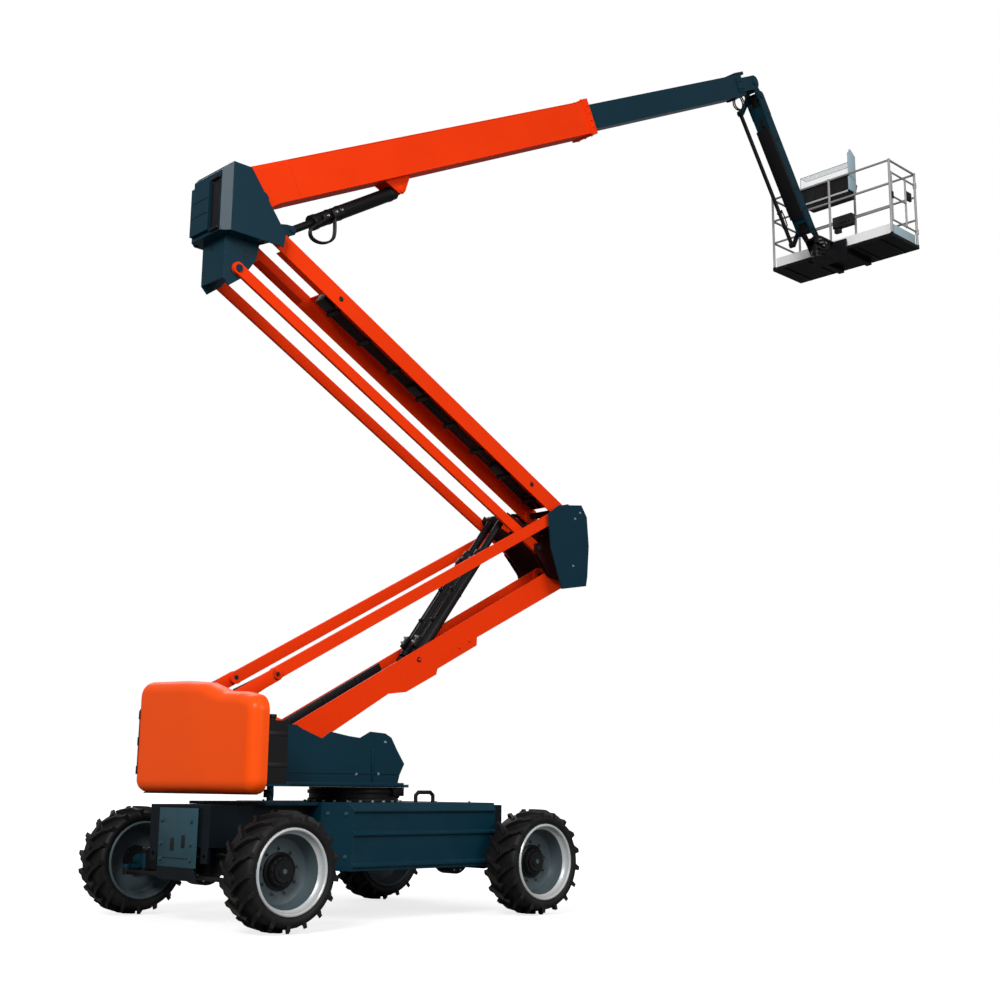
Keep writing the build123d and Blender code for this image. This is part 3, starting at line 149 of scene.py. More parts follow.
def mix_node(tree, kind, first, factor, a, b):
    """A mix node; first is where its two values start among its inputs."""
    node = add_node(tree, "Mix")
    node.data_type = kind
    feed(tree, node.inputs["Factor"], factor)
    feed(tree, node.inputs[first], a)
    feed(tree, node.inputs[first + 1], b)
    return node


def mix_colour(tree, factor, a, b):
    return mix_node(tree, "RGBA", 6, factor, a, b).outputs[2]


def mix_number(tree, factor, a, b):
    return mix_node(tree, "FLOAT", 2, factor, a, b).outputs[0]


def blend_shaders(tree, factor, a, b, output):
    """Mix two shaders into an output node's surface."""
    blend = add_node(tree, "MixShader")
    for socket, value in zip(blend.inputs, (factor, a, b)):
        feed(tree, socket, value)
    feed(tree, output.inputs["Surface"], blend.outputs[0])


# ---- shader groups ----------------------------------------------------------------------
def group_tree(name, inputs, outputs):
    """An empty node group with named sockets; inputs are (label, default) numbers."""
    tree = bpy.data.node_groups.new(name, "ShaderNodeTree")
    for label, value in inputs:
        socket = tree.interface.new_socket(name=label, in_out="INPUT", socket_type="NodeSocketFloat")
        socket.default_value = value
    for label, kind in outputs:
        tree.interface.new_socket(name=label, in_out="OUTPUT", socket_type="NodeSocket" + kind)
    return tree, tree.nodes.new("NodeGroupInput").outputs, tree.nodes.new("NodeGroupOutput")


def edge_wear_and_highlight_group():
    """Rounded edge normals, and a mask of flaked edges; where the flaked colour is lighter than the paint,
    the mask lays a painted edge highlight.
    """
    tree, given, end = group_tree("Edge Wear and Highlight", (("Radius", 0.004), ("Amount", 0.5), ("Scale", 18.0)),
                                  (("Mask", "Float"), ("Normal", "Vector")))
    bevel = add_node(tree, "Bevel", Radius=given["Radius"])
    bevel.samples = 4
    dot = add_node(tree, "VectorMath")
    dot.operation = "DOT_PRODUCT"
    feed(tree, dot.inputs[0], bevel.outputs["Normal"])
    feed(tree, dot.inputs[1], add_node(tree, "NewGeometry").outputs["Normal"])
    edge = ramp_node(tree, math_node(tree, "SUBTRACT", 1.0, dot.outputs["Value"]), 0.02, 0.30)
    place = add_node(tree, "TexCoord").outputs["Object"]
    chip_and_highlight_spots = ramp_node(tree, noise_node(tree, place, given["Scale"], 5.0, 0.65), 0.50, 0.66)
    chipped_and_highlit = math_node(tree, "MULTIPLY", edge, chip_and_highlight_spots)
    set_inputs(tree, end, Mask=math_node(tree, "MULTIPLY", chipped_and_highlit, given["Amount"], clamp=True),
               Normal=bevel.outputs["Normal"])
    return tree


def dust_group():
    """A mask of dust on faces that look up and near the ground."""
    tree, given, end = group_tree("Dust", (("Amount", 0.3), ("Height", 1.2)), (("Mask", "Float"),))
    coordinates = add_node(tree, "TexCoord").outputs
    facing_up = add_node(tree, "SeparateXYZ", Vector=coordinates["Normal"]).outputs["Z"]
    height = add_node(tree, "SeparateXYZ", Vector=coordinates["Object"]).outputs["Z"]
    share = math_node(tree, "DIVIDE", height, given["Height"])
    low = math_node(tree, "SUBTRACT", 1.0, share, clamp=True)
    patches = ramp_node(tree, noise_node(tree, coordinates["Object"], 5.0, 6.0, 0.6), 0.35, 0.75)
    lying = math_node(tree, "MULTIPLY", ramp_node(tree, facing_up, 0.55, 1.0), 0.6)
    splashed = math_node(tree, "MULTIPLY", low, 0.8)
    total = math_node(tree, "ADD", math_node(tree, "ADD", lying, splashed), 0.06)
    patchy = math_node(tree, "MULTIPLY", total, patches)
    set_inputs(tree, end, Mask=math_node(tree, "MULTIPLY", patchy, given["Amount"], clamp=True))
    return tree


def grain_group():
    """A fine height and a slow change of tone."""
    tree, given, end = group_tree("Grain", (("Fine Scale", 260.0), ("Tone Scale", 1.4)),
                                  (("Height", "Float"), ("Tone", "Float")))
    place = add_node(tree, "TexCoord").outputs["Object"]
    set_inputs(tree, end, Height=noise_node(tree, place, given["Fine Scale"], 2.0),
               Tone=noise_node(tree, place, given["Tone Scale"], 4.0))
    return tree


GROUPS = {}


def use_group(tree, builder, **values):
    """A node of a shader group, which is built at its first use."""
    if builder not in GROUPS:
        GROUPS[builder] = builder()
    node = tree.nodes.new("ShaderNodeGroup")
    node.node_tree = GROUPS[builder]
    return set_inputs(tree, node, **values).outputs


DUST = (0.30, 0.26, 0.21)
BARE_METAL = (0.055, 0.05, 0.048)
# roughness of chipped edges and of dust, and how far the tone moves the roughness of the paint
CHIP_ROUGHNESS, DUST_ROUGHNESS, TONE_ROUGHNESS = 0.7, 0.9, 0.10


def finish(name, base, rough, wear=0.5, dust=0.25, edge=0.004, bump=0.02, grain=260.0, metal=0.0, coat=0.0,
           chip_and_highlight=BARE_METAL, tone=0.12, shine=0.3):
    """A finish: base colour with a slow change of tone, flaked edges, dust and a fine grain; a flaked-edge
    colour lighter than the base is a painted edge highlight.
    """
    material = bpy.data.materials.new(name)
    material.use_nodes = True
    tree = material.node_tree
    worn_and_highlit = use_group(tree, edge_wear_and_highlight_group, Radius=edge, Amount=wear)
    dusty = use_group(tree, dust_group, Amount=dust)["Mask"]
    grained = use_group(tree, grain_group, Fine_Scale=grain)
    darker = tuple(channel * (1 - tone) for channel in base)
    lighter = tuple(min(1, channel * (1 + tone)) for channel in base)
    body = mix_colour(tree, grained["Tone"], darker, lighter)
    chipped_and_highlit = mix_colour(tree, worn_and_highlit["Mask"], body, chip_and_highlight)
    dull = mix_number(tree, worn_and_highlit["Mask"], rough, CHIP_ROUGHNESS)
    varied = math_node(tree, "ADD", dull, math_node(tree, "MULTIPLY", grained["Tone"], TONE_ROUGHNESS))
    offset = math_node(tree, "SUBTRACT", varied, TONE_ROUGHNESS / 2)
    relief = add_node(tree, "Bump", Strength=bump, Distance=0.004, Height=grained["Height"],
                      Normal=worn_and_highlit["Normal"])
    set_inputs(tree, tree.nodes["Principled BSDF"], Base_Color=mix_colour(tree, dusty, chipped_and_highlit, DUST),
               Roughness=mix_number(tree, dusty, offset, DUST_ROUGHNESS), Normal=relief.outputs["Normal"],
               Metallic=metal, Specular_IOR_Level=shine, Coat_Weight=coat, Coat_Roughness=0.12)
    return material


def two_tone_and_shade(name, outer, inner, axis, line):
    """One paint where a coordinate's size is over a line, and another colour within it: a second paint on the
    deck, and a painted shade on the knee and the chassis.
    """
    # the light teal-grey on its flaked edges is a painted edge highlight
    material = finish(name, outer, 0.40, wear=0.5, dust=0.02, coat=0.03, shine=0.12, chip_and_highlight=(0.06, 0.10, 0.12))
    tree = material.node_tree
    body = next(node for node in tree.nodes if node.type == "MIX" and node.data_type == "RGBA").outputs[2]
    place = add_node(tree, "SeparateXYZ", Vector=add_node(tree, "TexCoord").outputs["Object"])
    over = math_node(tree, "GREATER_THAN", math_node(tree, "ABSOLUTE", place.outputs[axis]), line)
    onward = [link.to_socket for link in body.links]
    mixed = mix_colour(tree, over, inner, body)
    for socket in onward:
        tree.links.new(mixed, socket)
    return material


def clear_cover(name):
    """A thin clear plastic cover."""
    material = finish(name, (0.75, 0.80, 0.82), 0.12, wear=0.0, dust=0.1, edge=0.001, bump=0.01)
    material.node_tree.nodes["Principled BSDF"].inputs["Alpha"].default_value = 0.22
    return material


FINISHES = {}
# the toe boards stand on the platform's floor plate
DECK_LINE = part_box("platform_rails")[0].z + 0.012
# light teal-grey for the flaked edges of teal parts: a painted edge highlight
TEAL_WEAR_AND_HIGHLIGHT = (0.06, 0.13, 0.17)


def make_finishes(paint):
    FINISHES.update(
        boom=finish("boom paint", paint.boom, 0.50, wear=0.35, dust=0.02, shine=0.03,
                    chip_and_highlight=(0.25, 0.02, 0.01)),
        tail=finish("tail paint", paint.tail, 0.38, wear=0.2, dust=0.02, coat=0.10, shine=0.10, tone=0.06,
                    chip_and_highlight=(0.60, 0.12, 0.04)),
        # the frame's edge mask is set high, so much of its edges show that light teal-grey: painted edge
        # highlight
        frame=finish("frame paint", paint.frame, 0.40, wear=0.8, dust=0.02, coat=0.04, shine=0.12,
                     chip_and_highlight=TEAL_WEAR_AND_HIGHLIGHT),
        # also the dark sheet of painted shade in the riser head's groove
        dark=finish("dark paint and painted shade", paint.dark, 0.40, wear=0.4, dust=0.02, shine=0.18,
                    chip_and_highlight=(0.04, 0.04, 0.045)),
        # rim discs and wheel studs in a dark grey-teal: painted shade in the deep dish
        barrel=finish("wheel disc painted shade", paint.barrel, 0.38, wear=0.2, dust=0.02, edge=0.003, shine=0.4),
        plate=finish("end plate paint", (0.022, 0.060, 0.080), 0.42, wear=0.6, dust=0.06, coat=0.03,
                     shine=0.15, chip_and_highlight=TEAL_WEAR_AND_HIGHLIGHT),
        # the knee's inner plates in dark maroon: the boom paint in painted shade
        knee=two_tone_and_shade("knee paint and painted shade", paint.frame, (0.020, 0.003, 0.003), "Y", 0.325),
        # the frame within the side covers is near-black: painted shade on its sides between the wheels; its
        # deck top takes the same colour
        core=two_tone_and_shade("chassis paint and painted shade", paint.frame, (0.003, 0.006, 0.009), "Y", 0.46),
        deck=two_tone_and_shade("deck paint", paint.toe, paint.dark, "Z", DECK_LINE),
        stud=finish("dull studs", (0.22, 0.27, 0.29), 0.4, wear=0.0, dust=0.1, edge=0.001, shine=0.5),
        pale=finish("pale panel", (0.36, 0.47, 0.52), 0.40, wear=0.2, dust=0.1, edge=0.002),
        rails=finish("rail paint", paint.rails, 0.36, wear=0.3, dust=0.12, edge=0.002, metal=0.15),
        wheel=finish("wheel paint", paint.wheel, 0.30, wear=0.25, dust=0.35, edge=0.003, metal=0.2),
        rubber=finish("tyre rubber", paint.rubber, 0.55, wear=0.35, dust=0.05, edge=0.006, bump=0.15,
                      shine=0.22, grain=140.0, chip_and_highlight=(0.05, 0.05, 0.05)),
        hose=finish("hose rubber", (0.006, 0.006, 0.007), 0.42, wear=0.0, dust=0.03, edge=0.001, bump=0.05,
                    grain=500.0, shine=0.25),
        # also painted shade: the tail's bottom strip, the end plates' slots, the lower arm's liners and the
        # riser head's holes
        plastic=finish("black plastic and painted shade", (0.007, 0.007, 0.008), 0.48, wear=0.2, dust=0.03, bump=0.12,
                       grain=700.0, shine=0.25, chip_and_highlight=(0.03, 0.03, 0.03)),
        bolt=finish("zinc plate", (0.55, 0.54, 0.50), 0.34, wear=0.2, dust=0.2, edge=0.001, metal=0.9),
        bright=finish("chromed rod", (0.72, 0.73, 0.74), 0.14, wear=0.0, dust=0.05, edge=0.001, bump=0.005,
                      metal=1.0),
        cast=finish("cast iron", (0.030, 0.030, 0.032), 0.7, wear=0.2, dust=0.4, bump=0.5, grain=90.0),
        clear=clear_cover("clear cover"),
        red=finish("red knob", (0.55, 0.01, 0.008), 0.35, wear=0.0, dust=0.05, edge=0.001),
    )


# ---- shapes -----------------------------------------------------------------------------
# edges sharper than this get a bevel
BEVEL_ANGLE = math.radians(28)
CAP_THICKNESS = 0.012
BOOM_LENGTH = 8.78


def facing(direction):
    """A turn that lays +Z along a direction."""
    return Vector(direction).to_track_quat("Z", "Y").to_matrix().to_4x4()


def cone(bm, a, b, radius, sides, tip=None):
    """A round bar between two points, or a cone with its own radius at the tip."""
    matrix = Matrix.Translation((a + b) / 2) @ facing(b - a)
    bmesh.ops.create_cone(bm, cap_ends=True, segments=sides, depth=(b - a).length, matrix=matrix,
                          radius1=radius, radius2=radius if tip is None else tip)


def circle(centre, radius, count, start=0.0, flat=False):
    """Points round a centre, in a wheel's plane or flat on the ground; start is in steps."""
    for index in range(count):
        turn = 2 * math.pi * (index + start) / count
        a, b = math.cos(turn) * radius, math.sin(turn) * radius
        yield Vector(centre) + Vector((a, b, 0) if flat else (a, 0, b))


class Shape:
    """The mesh of one piece in the making. Points and directions are in the axes of its place."""

    def __init__(self, place=HERE):
        self.mesh, self.place = bmesh.new(), place

    def box(self, low, high):
        low, high = Vector(low), Vector(high)
        size = [abs(b - a) for a, b in zip(low, high)]
        matrix = self.place @ Matrix.Translation((low + high) / 2) @ Matrix.Diagonal((*size, 1))
        return bmesh.ops.create_cube(self.mesh, size=1, matrix=matrix)["verts"]

    def bar(self, a, b, radius, sides=24, tip=None):
        cone(self.mesh, self.place @ Vector(a), self.place @ Vector(b), radius, sides, tip)

    def post(self, x, y, low, high, radius, sides=24, tip=None):
        """An upright bar."""
        self.bar((x, y, low), (x, y, high), radius, sides, tip)

    def ball(self, centre, radius, rings=10):
        bmesh.ops.create_uvsphere(self.mesh, u_segments=2 * rings, v_segments=rings, radius=radius,
                                  matrix=Matrix.Translation(self.place @ Vector(centre)))

    def spun(self, profile, centre, axis=ACROSS, steps=64):
        """Turn a closed (radius, along) outline round an axis into a ring."""
        bm = self.mesh
        turn = Matrix.Translation(centre) @ facing(axis)
        points = [bm.verts.new(turn @ Vector((radius, 0, along))) for radius, along in profile]
        edges = [bm.edges.new(pair) for pair in zip(points, points[1:] + points[:1])]
        bmesh.ops.spin(bm, geom=points + edges, cent=centre, axis=axis, dvec=(0, 0, 0), angle=2 * math.pi,
                       steps=steps, use_merge=True, use_duplicate=False)
        bmesh.ops.remove_doubles(bm, verts=bm.verts, dist=1e-6)

    def pipe(self, points, radius, sides=14):
        """A bent rigid pipe: straight runs with a ball at each corner."""
        for a, b in zip(points, points[1:]):
            self.bar(a, b, radius, sides)
        for corner in points[1:-1]:
            self.ball(corner, radius, sides // 2)

    def bolt(self, seat, direction, radius, washer=True):
        """A hexagon head, on a washer or bare."""
        base = self.place @ Vector(seat)
        out = (self.place.to_3x3() @ Vector(direction)).normalized()
        if washer:
            cone(self.mesh, base - out * 0.001, base + out * radius * 0.2, radius * 1.35, 20)
            base = base + out * radius * 0.2
        cone(self.mesh, base - out * 0.001, base + out * radius * 0.95, radius, 6, radius * 0.94)

    def side_bolts(self, spots, reach, radius, washer=True):
        """Bolts on both side faces, at (x, z) spots; reach is from the middle to a face."""
        for side in BOTH:
            for x, z in spots:
                self.bolt((x, side * reach, z), (0, side, 0), radius, washer)

    def plugs(self, x, reach, radius, tip):
        """A low round plug on each side face."""
        for side in BOTH:
            self.bar((x, side * (reach - 0.002), 0), (x, side * (reach + 0.004), 0), radius, 32, tip)

    def ring(self, x, y, radius, width, grow=0.006):
        """A band round a cylinder that lies along x."""
        self.bar((x - width / 2, y, 0), (x + width / 2, y, 0), radius + grow, 40)

    def fitting(self, point, direction, radius=0.012, reach=0.030):
        """A hexagon union with a collar where a hose or pipe ends."""
        seat = self.place @ Vector(point)
        out = (self.place.to_3x3() @ Vector(direction)).normalized()
        cone(self.mesh, seat - out * 0.002, seat + out * reach * 0.6, radius, 6)
        cone(self.mesh, seat + out * reach * 0.6, seat + out * reach, radius * 0.8, 16)

    def clamps(self, stations, rows, above, diameter, thick=0.018):
        """Saddle clamps over a row of hoses."""
        low, high = min(rows) - diameter, max(rows) + diameter
        foot = above - diameter * 0.8
        for x in stations:
            self.box((x - thick, low, foot), (x + thick, high, above + diameter * 0.8))
            for y in (low + diameter * 0.3, high - diameter * 0.3):
                self.post(x, y, foot, above + diameter, 0.006, 6)

    def piece(self, name, material, body, slot=None, smooth=30, bevel=0.0, segments=2):
        """Finish the mesh as a piece that rides on a body."""
        bm = self.mesh
        bmesh.ops.recalc_face_normals(bm, faces=bm.faces)
        if bevel:
            sharp = [e for e in bm.edges if len(e.link_faces) == 2 and e.calc_face_angle(0) > BEVEL_ANGLE]
            bmesh.ops.bevel(bm, geom=sharp, offset=bevel, segments=segments, profile=0.5, affect="EDGES",
                            material=-1, clamp_overlap=True)
        mesh = bpy.data.meshes.new(name)
        bm.to_mesh(mesh)
        bm.free()
        mesh.polygons.foreach_set("use_smooth", [True] * len(mesh.polygons))
        mesh.set_sharp_from_angle(angle=math.radians(smooth))
        return mount(name, mesh, material, body)


def blocks(name, material, body, *corners, place=HERE, **looks):
    """A piece of plain blocks, each given by two corners."""
    made = Shape(place)
    for low, high in corners:
        made.box(low, high)
    made.piece(name, material, body, **looks)


def mount(name, data, material, body):
    """An object with a finish that rides on a body."""
    data.materials.append(FINISHES[material])
    made = bpy.data.objects.new(name, data)
    bpy.context.scene.collection.objects.link(made)
    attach(made, body)
    return made


def hose(name, points, diameter, body, place=HERE):
    """A flexible hose on one smooth curve through its control points."""
    curve = bpy.data.curves.new(name, "CURVE")
    curve.dimensions, curve.bevel_depth, curve.bevel_resolution = "3D", diameter / 2, 4
    curve.resolution_u = 10
    spline = curve.splines.new("NURBS")
    spline.points.add(len(points) - 1)
    for knot, point in zip(spline.points, points):
        knot.co = (*(place @ Vector(point)), 1)
    spline.order_u = 3
    spline.use_endpoint_u = True
    curve.use_fill_caps = True
    mount(name, curve, "hose", body)


def hose_run(name, body, place, start, end, rows, above, diameter, wave=0.004, stops=9):
    """Parallel hoses along an arm, each with a slight wander, held by clamps."""
    random.seed(len(name) + int(start * 100))
    for index, across in enumerate(rows):
        points = []
        for stop in range(stops):
            along = start + (end - start) * stop / (stops - 1)
            points.append((along, across + random.uniform(-wave, wave), above + random.uniform(-wave, wave)))
        hose(f"{name}_{index + 1}", points, diameter, body, place)


def pin_caps(name, body, material, pivots):
    """Chamfered caps with two keeper bolts on pin ends; pivots are (centre, y of the face, radius, sides)."""
    plates, bolts = Shape(), Shape()
    for pivot, face, radius, sides in pivots:
        for side in sides:
            centre, out = Vector((pivot.x, side * face, pivot.z)), ACROSS * side
            rim = centre + out * CAP_THICKNESS * 0.7
            plates.bar(centre - out * 0.002, rim, radius, 32)
            plates.bar(rim, centre + out * CAP_THICKNESS, radius, 32, radius * 0.86)
            for turn in (0.7, 0.7 + math.pi):
                seat = centre + Vector((math.cos(turn), 0, math.sin(turn))) * radius * 0.6
                bolts.bolt(seat + out * 0.011, out, radius * 0.17, washer=False)
    plates.piece(f"{name}_caps", material, body)
    bolts.piece(f"{name}_cap_bolts", material, body)


def arm_frame(start, end):
    """Local axes of an arm: x along it, y across the machine, z square to both."""
    x = (Vector(end) - Vector(start)).normalized()
    turn = Matrix((x, ACROSS, x.cross(ACROSS))).transposed().to_4x4()
    return Matrix.Translation(start) @ turn


LOWER_ARM = arm_frame(AT["riser_lift"], AT["mid_link_turn"])
UPPER_ARM = arm_frame(AT["upper_arm_turn"], AT["riser_head_turn"])
JIB = arm_frame(AT["jib_lift"], AT["platform_level"])
JIB_LENGTH = (AT["platform_level"] - AT["jib_lift"]).length
# the boom's centre line ends at the jib head's pivot
BOOM_END = AT["jib_head_level"]
BOOM_START = BOOM_END - Vector(JOINTS["telescope"]["axis"]) * BOOM_LENGTH
BOOM = arm_frame(BOOM_START, BOOM_END)
# pins of the boom's lift cylinder: on the boom's lugs and on the riser head's
LIFT_TOP = BOOM @ Vector((1.960, 0, -0.300))
LIFT_FOOT = BOOM_START + Vector((0.640, 0, -0.150))
# pin at the foot of the riser's lift cylinders
RISER_FOOT = Vector((1.694, 0, 0))


# ---- operators --------------------------------------------------------------------------
class PieceOperator(bpy.types.Operator):
    """What the operators share"""
    bl_options = {"REGISTER", "UNDO"}


NODE_FINISH = {
    "boom": "lower_arm lower_links upper_arm upper_links primary_boom",
    "tail": "rear_cowl engine_hood engine_door",
    # the chassis frame, near-black within its side covers as painted shade
    "core": "chassis_frame",
    "frame": "side_covers turntable_frame riser_head extension_boom jib_head jib knuckle_near knuckle_far",
    "knee": "mid_link",
    "deck": "platform_floor",
    "dark": "slew_bearing steer_axle drive_axle hydraulic_tank riser_cylinder_barrels riser_cylinder_rods "
            "boom_cylinder_barrel boom_cylinder_rod jib_rod platform_bracket platform_mount tie_rod",
    "rails": "platform_rails platform_gate",
    "plastic": "control_console wear_pads",
    "cast": "counterweight engine",
}


class LIFT_OT_finishes(PieceOperator):
    """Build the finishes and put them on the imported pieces"""
    bl_idname = "lift.finishes"
    bl_label = "Finishes"

    def execute(self, context):
        make_finishes(context.scene.boom_lift.colours)
        for key, nodes in NODE_FINISH.items():
            for node in nodes.split():
                for slot in frame["nodes"][node].material_slots:
                    slot.material = FINISHES[key]
        return {"FINISHED"}


# casing outline, (radius, out from the middle of the tread), one half; the other is its mirror
CASING = ((0.309, 0.137), (0.322, 0.158), (0.350, 0.1735), (0.378, 0.1735), (0.392, 0.164), (0.402, 0.146),
          (0.408, 0.09), (0.410, 0.0))
TREAD_RADIUS, LUG_FOOT, SHOULDER = 0.4495, 0.398, 0.1735
# rim outlines, (radius, out from the wheel's middle): the outer lip, and the well with its dished disc
LIP = ((0.3235, 0.150), (0.3245, 0.162), (0.319, 0.170), (0.309, 0.172), (0.301, 0.164), (0.298, 0.140),
       (0.290, 0.118), (0.278, 0.106), (0.278, 0.100), (0.296, 0.104), (0.3075, 0.140))
WELL = ((0.2785, 0.1055), (0.272, 0.060), (0.262, 0.020), (0.246, -0.010), (0.205, -0.022), (0.150, -0.020),
        (0.120, -0.016), (0.120, -0.030), (0.205, -0.036), (0.262, -0.024), (0.276, -0.060), (0.290, -0.110),
        (0.300, -0.140), (0.301, -0.164), (0.309, -0.172), (0.319, -0.170), (0.3245, -0.162),
        (0.3235, -0.150), (0.3075, -0.140), (0.3055, 0.0), (0.3055, 0.102), (0.290, 0.1035))
HUB = ((0.0395, -0.060), (0.118, -0.060), (0.118, -0.0145), (0.142, -0.0145), (0.142, -0.004), (0.124, 0.006),
       (0.116, 0.022), (0.104, 0.034), (0.088, 0.036), (0.082, 0.052), (0.0395, 0.052))


class LIFT_OT_wheels(PieceOperator):
    """Lugged tyres, dished rims, hubs and wheel studs"""
    bl_idname = "lift.wheels"
    bl_label = "Wheels"

    def execute(self, context):
        sizes = context.scene.boom_lift.sizes
        for end, _ in ENDS:
            for side, out in SIDES:
                corner = f"{end}_{side}"
                wheel = f"wheel_{corner}"
                centre = AT[f"{wheel}_spin"]
                made = Shape()
                self.tyre(made, centre, sizes)
                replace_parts(made.piece(f"lugged_{corner}", "rubber", wheel, smooth=35), f"tyre_{corner}")
                # the well and disc in the darker disc colour: painted shade of the dish
                made = Shape()
                made.spun([(radius, out * along) for radius, along in WELL], centre, steps=96)
                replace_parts(made.piece(f"dished_rim_shade_{corner}", "barrel", wheel, smooth=28), f"rim_{corner}")
                made = Shape()
                made.spun([(radius, out * along) for radius, along in LIP], centre, steps=96)
                made.piece(f"rim_lip_{corner}", "wheel", wheel, smooth=28)
                self.hub(corner, ACROSS * out, out, wheel, centre)
        return {"FINISHED"}

    def tyre(self, made, centre, sizes):
        """A casing with two rows of slanting lugs that meet in a chevron."""
        made.spun([*CASING, *((radius, -along) for radius, along in reversed(CASING[:-1]))], centre, steps=96)
        for row in BOTH:
            for index in range(sizes.lugs):
                start = 2 * math.pi * (index + (0.5 if row > 0 else 0)) / sizes.lugs
                self.lug(made.mesh, centre, row, start, sizes.lug_width)

    def lug(self, bm, centre, row, start, usual_width):
        """One lug: a bar bent round the tyre, from the tread's middle to the shoulder."""
        before = len(bm.verts)
        verts = bmesh.ops.create_cube(bm, size=1)["verts"]
        lengthwise = {e for v in verts for e in v.link_edges if abs((e.verts[0].co - e.verts[1].co).x) > 0.5}
        bmesh.ops.subdivide_edges(bm, edges=list(lengthwise), cuts=4)
        for vert in list(bm.verts)[before:]:
            share = vert.co.x + 0.5              # 0 at the tread's middle, 1 at the shoulder
            top = vert.co.z > 0
            width = usual_width * (0.78 if top else 1.15) * (1 + 0.25 * share)
            sweep = 0.30 * share ** 0.85 - 0.05
            across = row * (-0.012 + 0.186 * share)
            if not top:
                radius = LUG_FOOT - 0.05 * share ** 3
            elif share < 0.8:
                radius = TREAD_RADIUS - 0.002 * share
            else:
                radius = TREAD_RADIUS - 0.022
            if top and share >= 0.99:
                across = row * SHOULDER
            angle = start + sweep + vert.co.y * width / TREAD_RADIUS
            vert.co = Vector((radius * math.sin(angle), across, radius * math.cos(angle))) + centre

    def hub(self, corner, outward, out, wheel, centre):
        made = Shape()
        made.spun([(radius, out * along) for radius, along in HUB], centre, steps=48)
        made.bar(centre + outward * 0.040, centre + outward * 0.060, 0.052, 32, 0.046)
        for spot in circle(centre, 0.098, 12):
            made.bolt(spot + outward * 0.034, outward, 0.008, washer=False)
        made.piece(f"hub_{corner}", "dark", wheel)
        # the studs in the dark disc colour: painted shade in the dish
        made = Shape()
        for spot in circle(centre - outward * 0.018, 0.168, 9, 0.3):
            made.bolt(spot, outward, 0.012)
            made.bar(spot, spot + outward * 0.026, 0.008, 12)
        made.bar(centre + outward * 0.058, centre + outward * 0.068, 0.020, 6)
        made.piece(f"studs_{corner}", "barrel", wheel, slot="bright_steel")


# half the length of the chassis frame, to its end plates
FRAME_END = 1.6


class LIFT_OT_chassis(PieceOperator):
    """Bolts, end plates, deck loops, steering cylinder and slew ring bolts on the chassis"""
    bl_idname = "lift.chassis"
    bl_label = "Chassis"

    def execute(self, context):
        bolt_radius = context.scene.boom_lift.sizes.bolt
        cover_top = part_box("side_covers")[1].z
        made = Shape()
        for side in BOTH:
            # bolts down the slanting end and along the top bevel of each cover
            for x in (-0.60, -0.52):
                for z in (0.86, 0.52):
                    y = side * (0.60 + (x + 0.63) / 0.15 * 0.26)
                    made.bolt((x, y, z), (-0.87, side * 0.5, 0), bolt_radius)
            for x in (-0.35, 0.1, 0.6, 1.0):
                made.bolt((x, side * 0.62, cover_top), UP, bolt_radius * 0.8)
        for end in BOTH:
            for y in (-0.22, 0.22):
                for z in (0.50, 0.62, 0.80):
                    made.bolt((end * FRAME_END, y, z), (end, 0, 0), bolt_radius * 1.1)
        made.piece("chassis_bolts", "plate", "chassis")

        made, slot_shade = Shape(), Shape()
        for end in BOTH:
            inner, outer = end * (FRAME_END - 0.0005), end * (FRAME_END + 0.0035)
            made.box((end * (FRAME_END - 0.0015), -0.300, 0.44), (end * (FRAME_END + 0.0005), 0.270, 0.90))
            # black boxes for the plates' slots: painted shade of the openings; then a thin black line across
            # each plate
            for y, z in ((-0.10, 0.640), (0.06, 0.615)):
                slot_shade.box((inner, y - 0.026, z - 0.050), (outer, y + 0.026, z + 0.050))
            slot_shade.box((inner, -0.25, 0.505), (end * (FRAME_END + 0.0025), 0.22, 0.512))
        made.piece("end_plate_faces", "plate", "chassis", bevel=0.0006)
        slot_shade.piece("end_plate_slot_shade", "plastic", "chassis", bevel=0.001)

        made = Shape()
        # grab loops on the deck, ahead of the slew ring
        for y in (-0.50, 0.50):
            loop = ((0.47, 0.94), (0.47, 1.01), (0.50, 1.035), (0.64, 1.035), (0.67, 1.01), (0.67, 0.94))
            made.pipe([(x, y, z) for x, z in loop], 0.017)
        made.piece("deck_loops", "dark", "chassis")

        made, rods = Shape(), Shape()
        # steering cylinder across the axle, with its rods
        x, z = AT["steer_near"].x + 0.125, AT["steer_near"].z + 0.115
        made.bar((x, -0.34, z), (x, 0.34, z), 0.040, 28)
        for side in BOTH:
            made.bar((x, side * 0.335, z), (x, side * 0.355, z), 0.047, 28)
            rods.bar((x, side * 0.35, z), (x, side * 0.60, z), 0.019, 20)
        made.piece("steering_cylinder", "dark", "chassis")
        rods.piece("steering_rods", "bright", "chassis")

        centre = Vector((AT["slew"].x, 0, 0))
        made = Shape()
        for spot in circle(centre + UP * 0.95, 0.425, 24, flat=True):
            made.bolt(spot, UP, 0.012)
        made.piece("slew_bolts", "stud", "chassis")
        made = Shape()
        seal = ((0.389, 0.952), (0.402, 0.952), (0.402, 0.972), (0.396, 0.980), (0.389, 0.980))
        made.spun(seal, centre, UP, 72)
        made.piece("slew_seal", "plastic", "chassis")
        return {"FINISHED"}


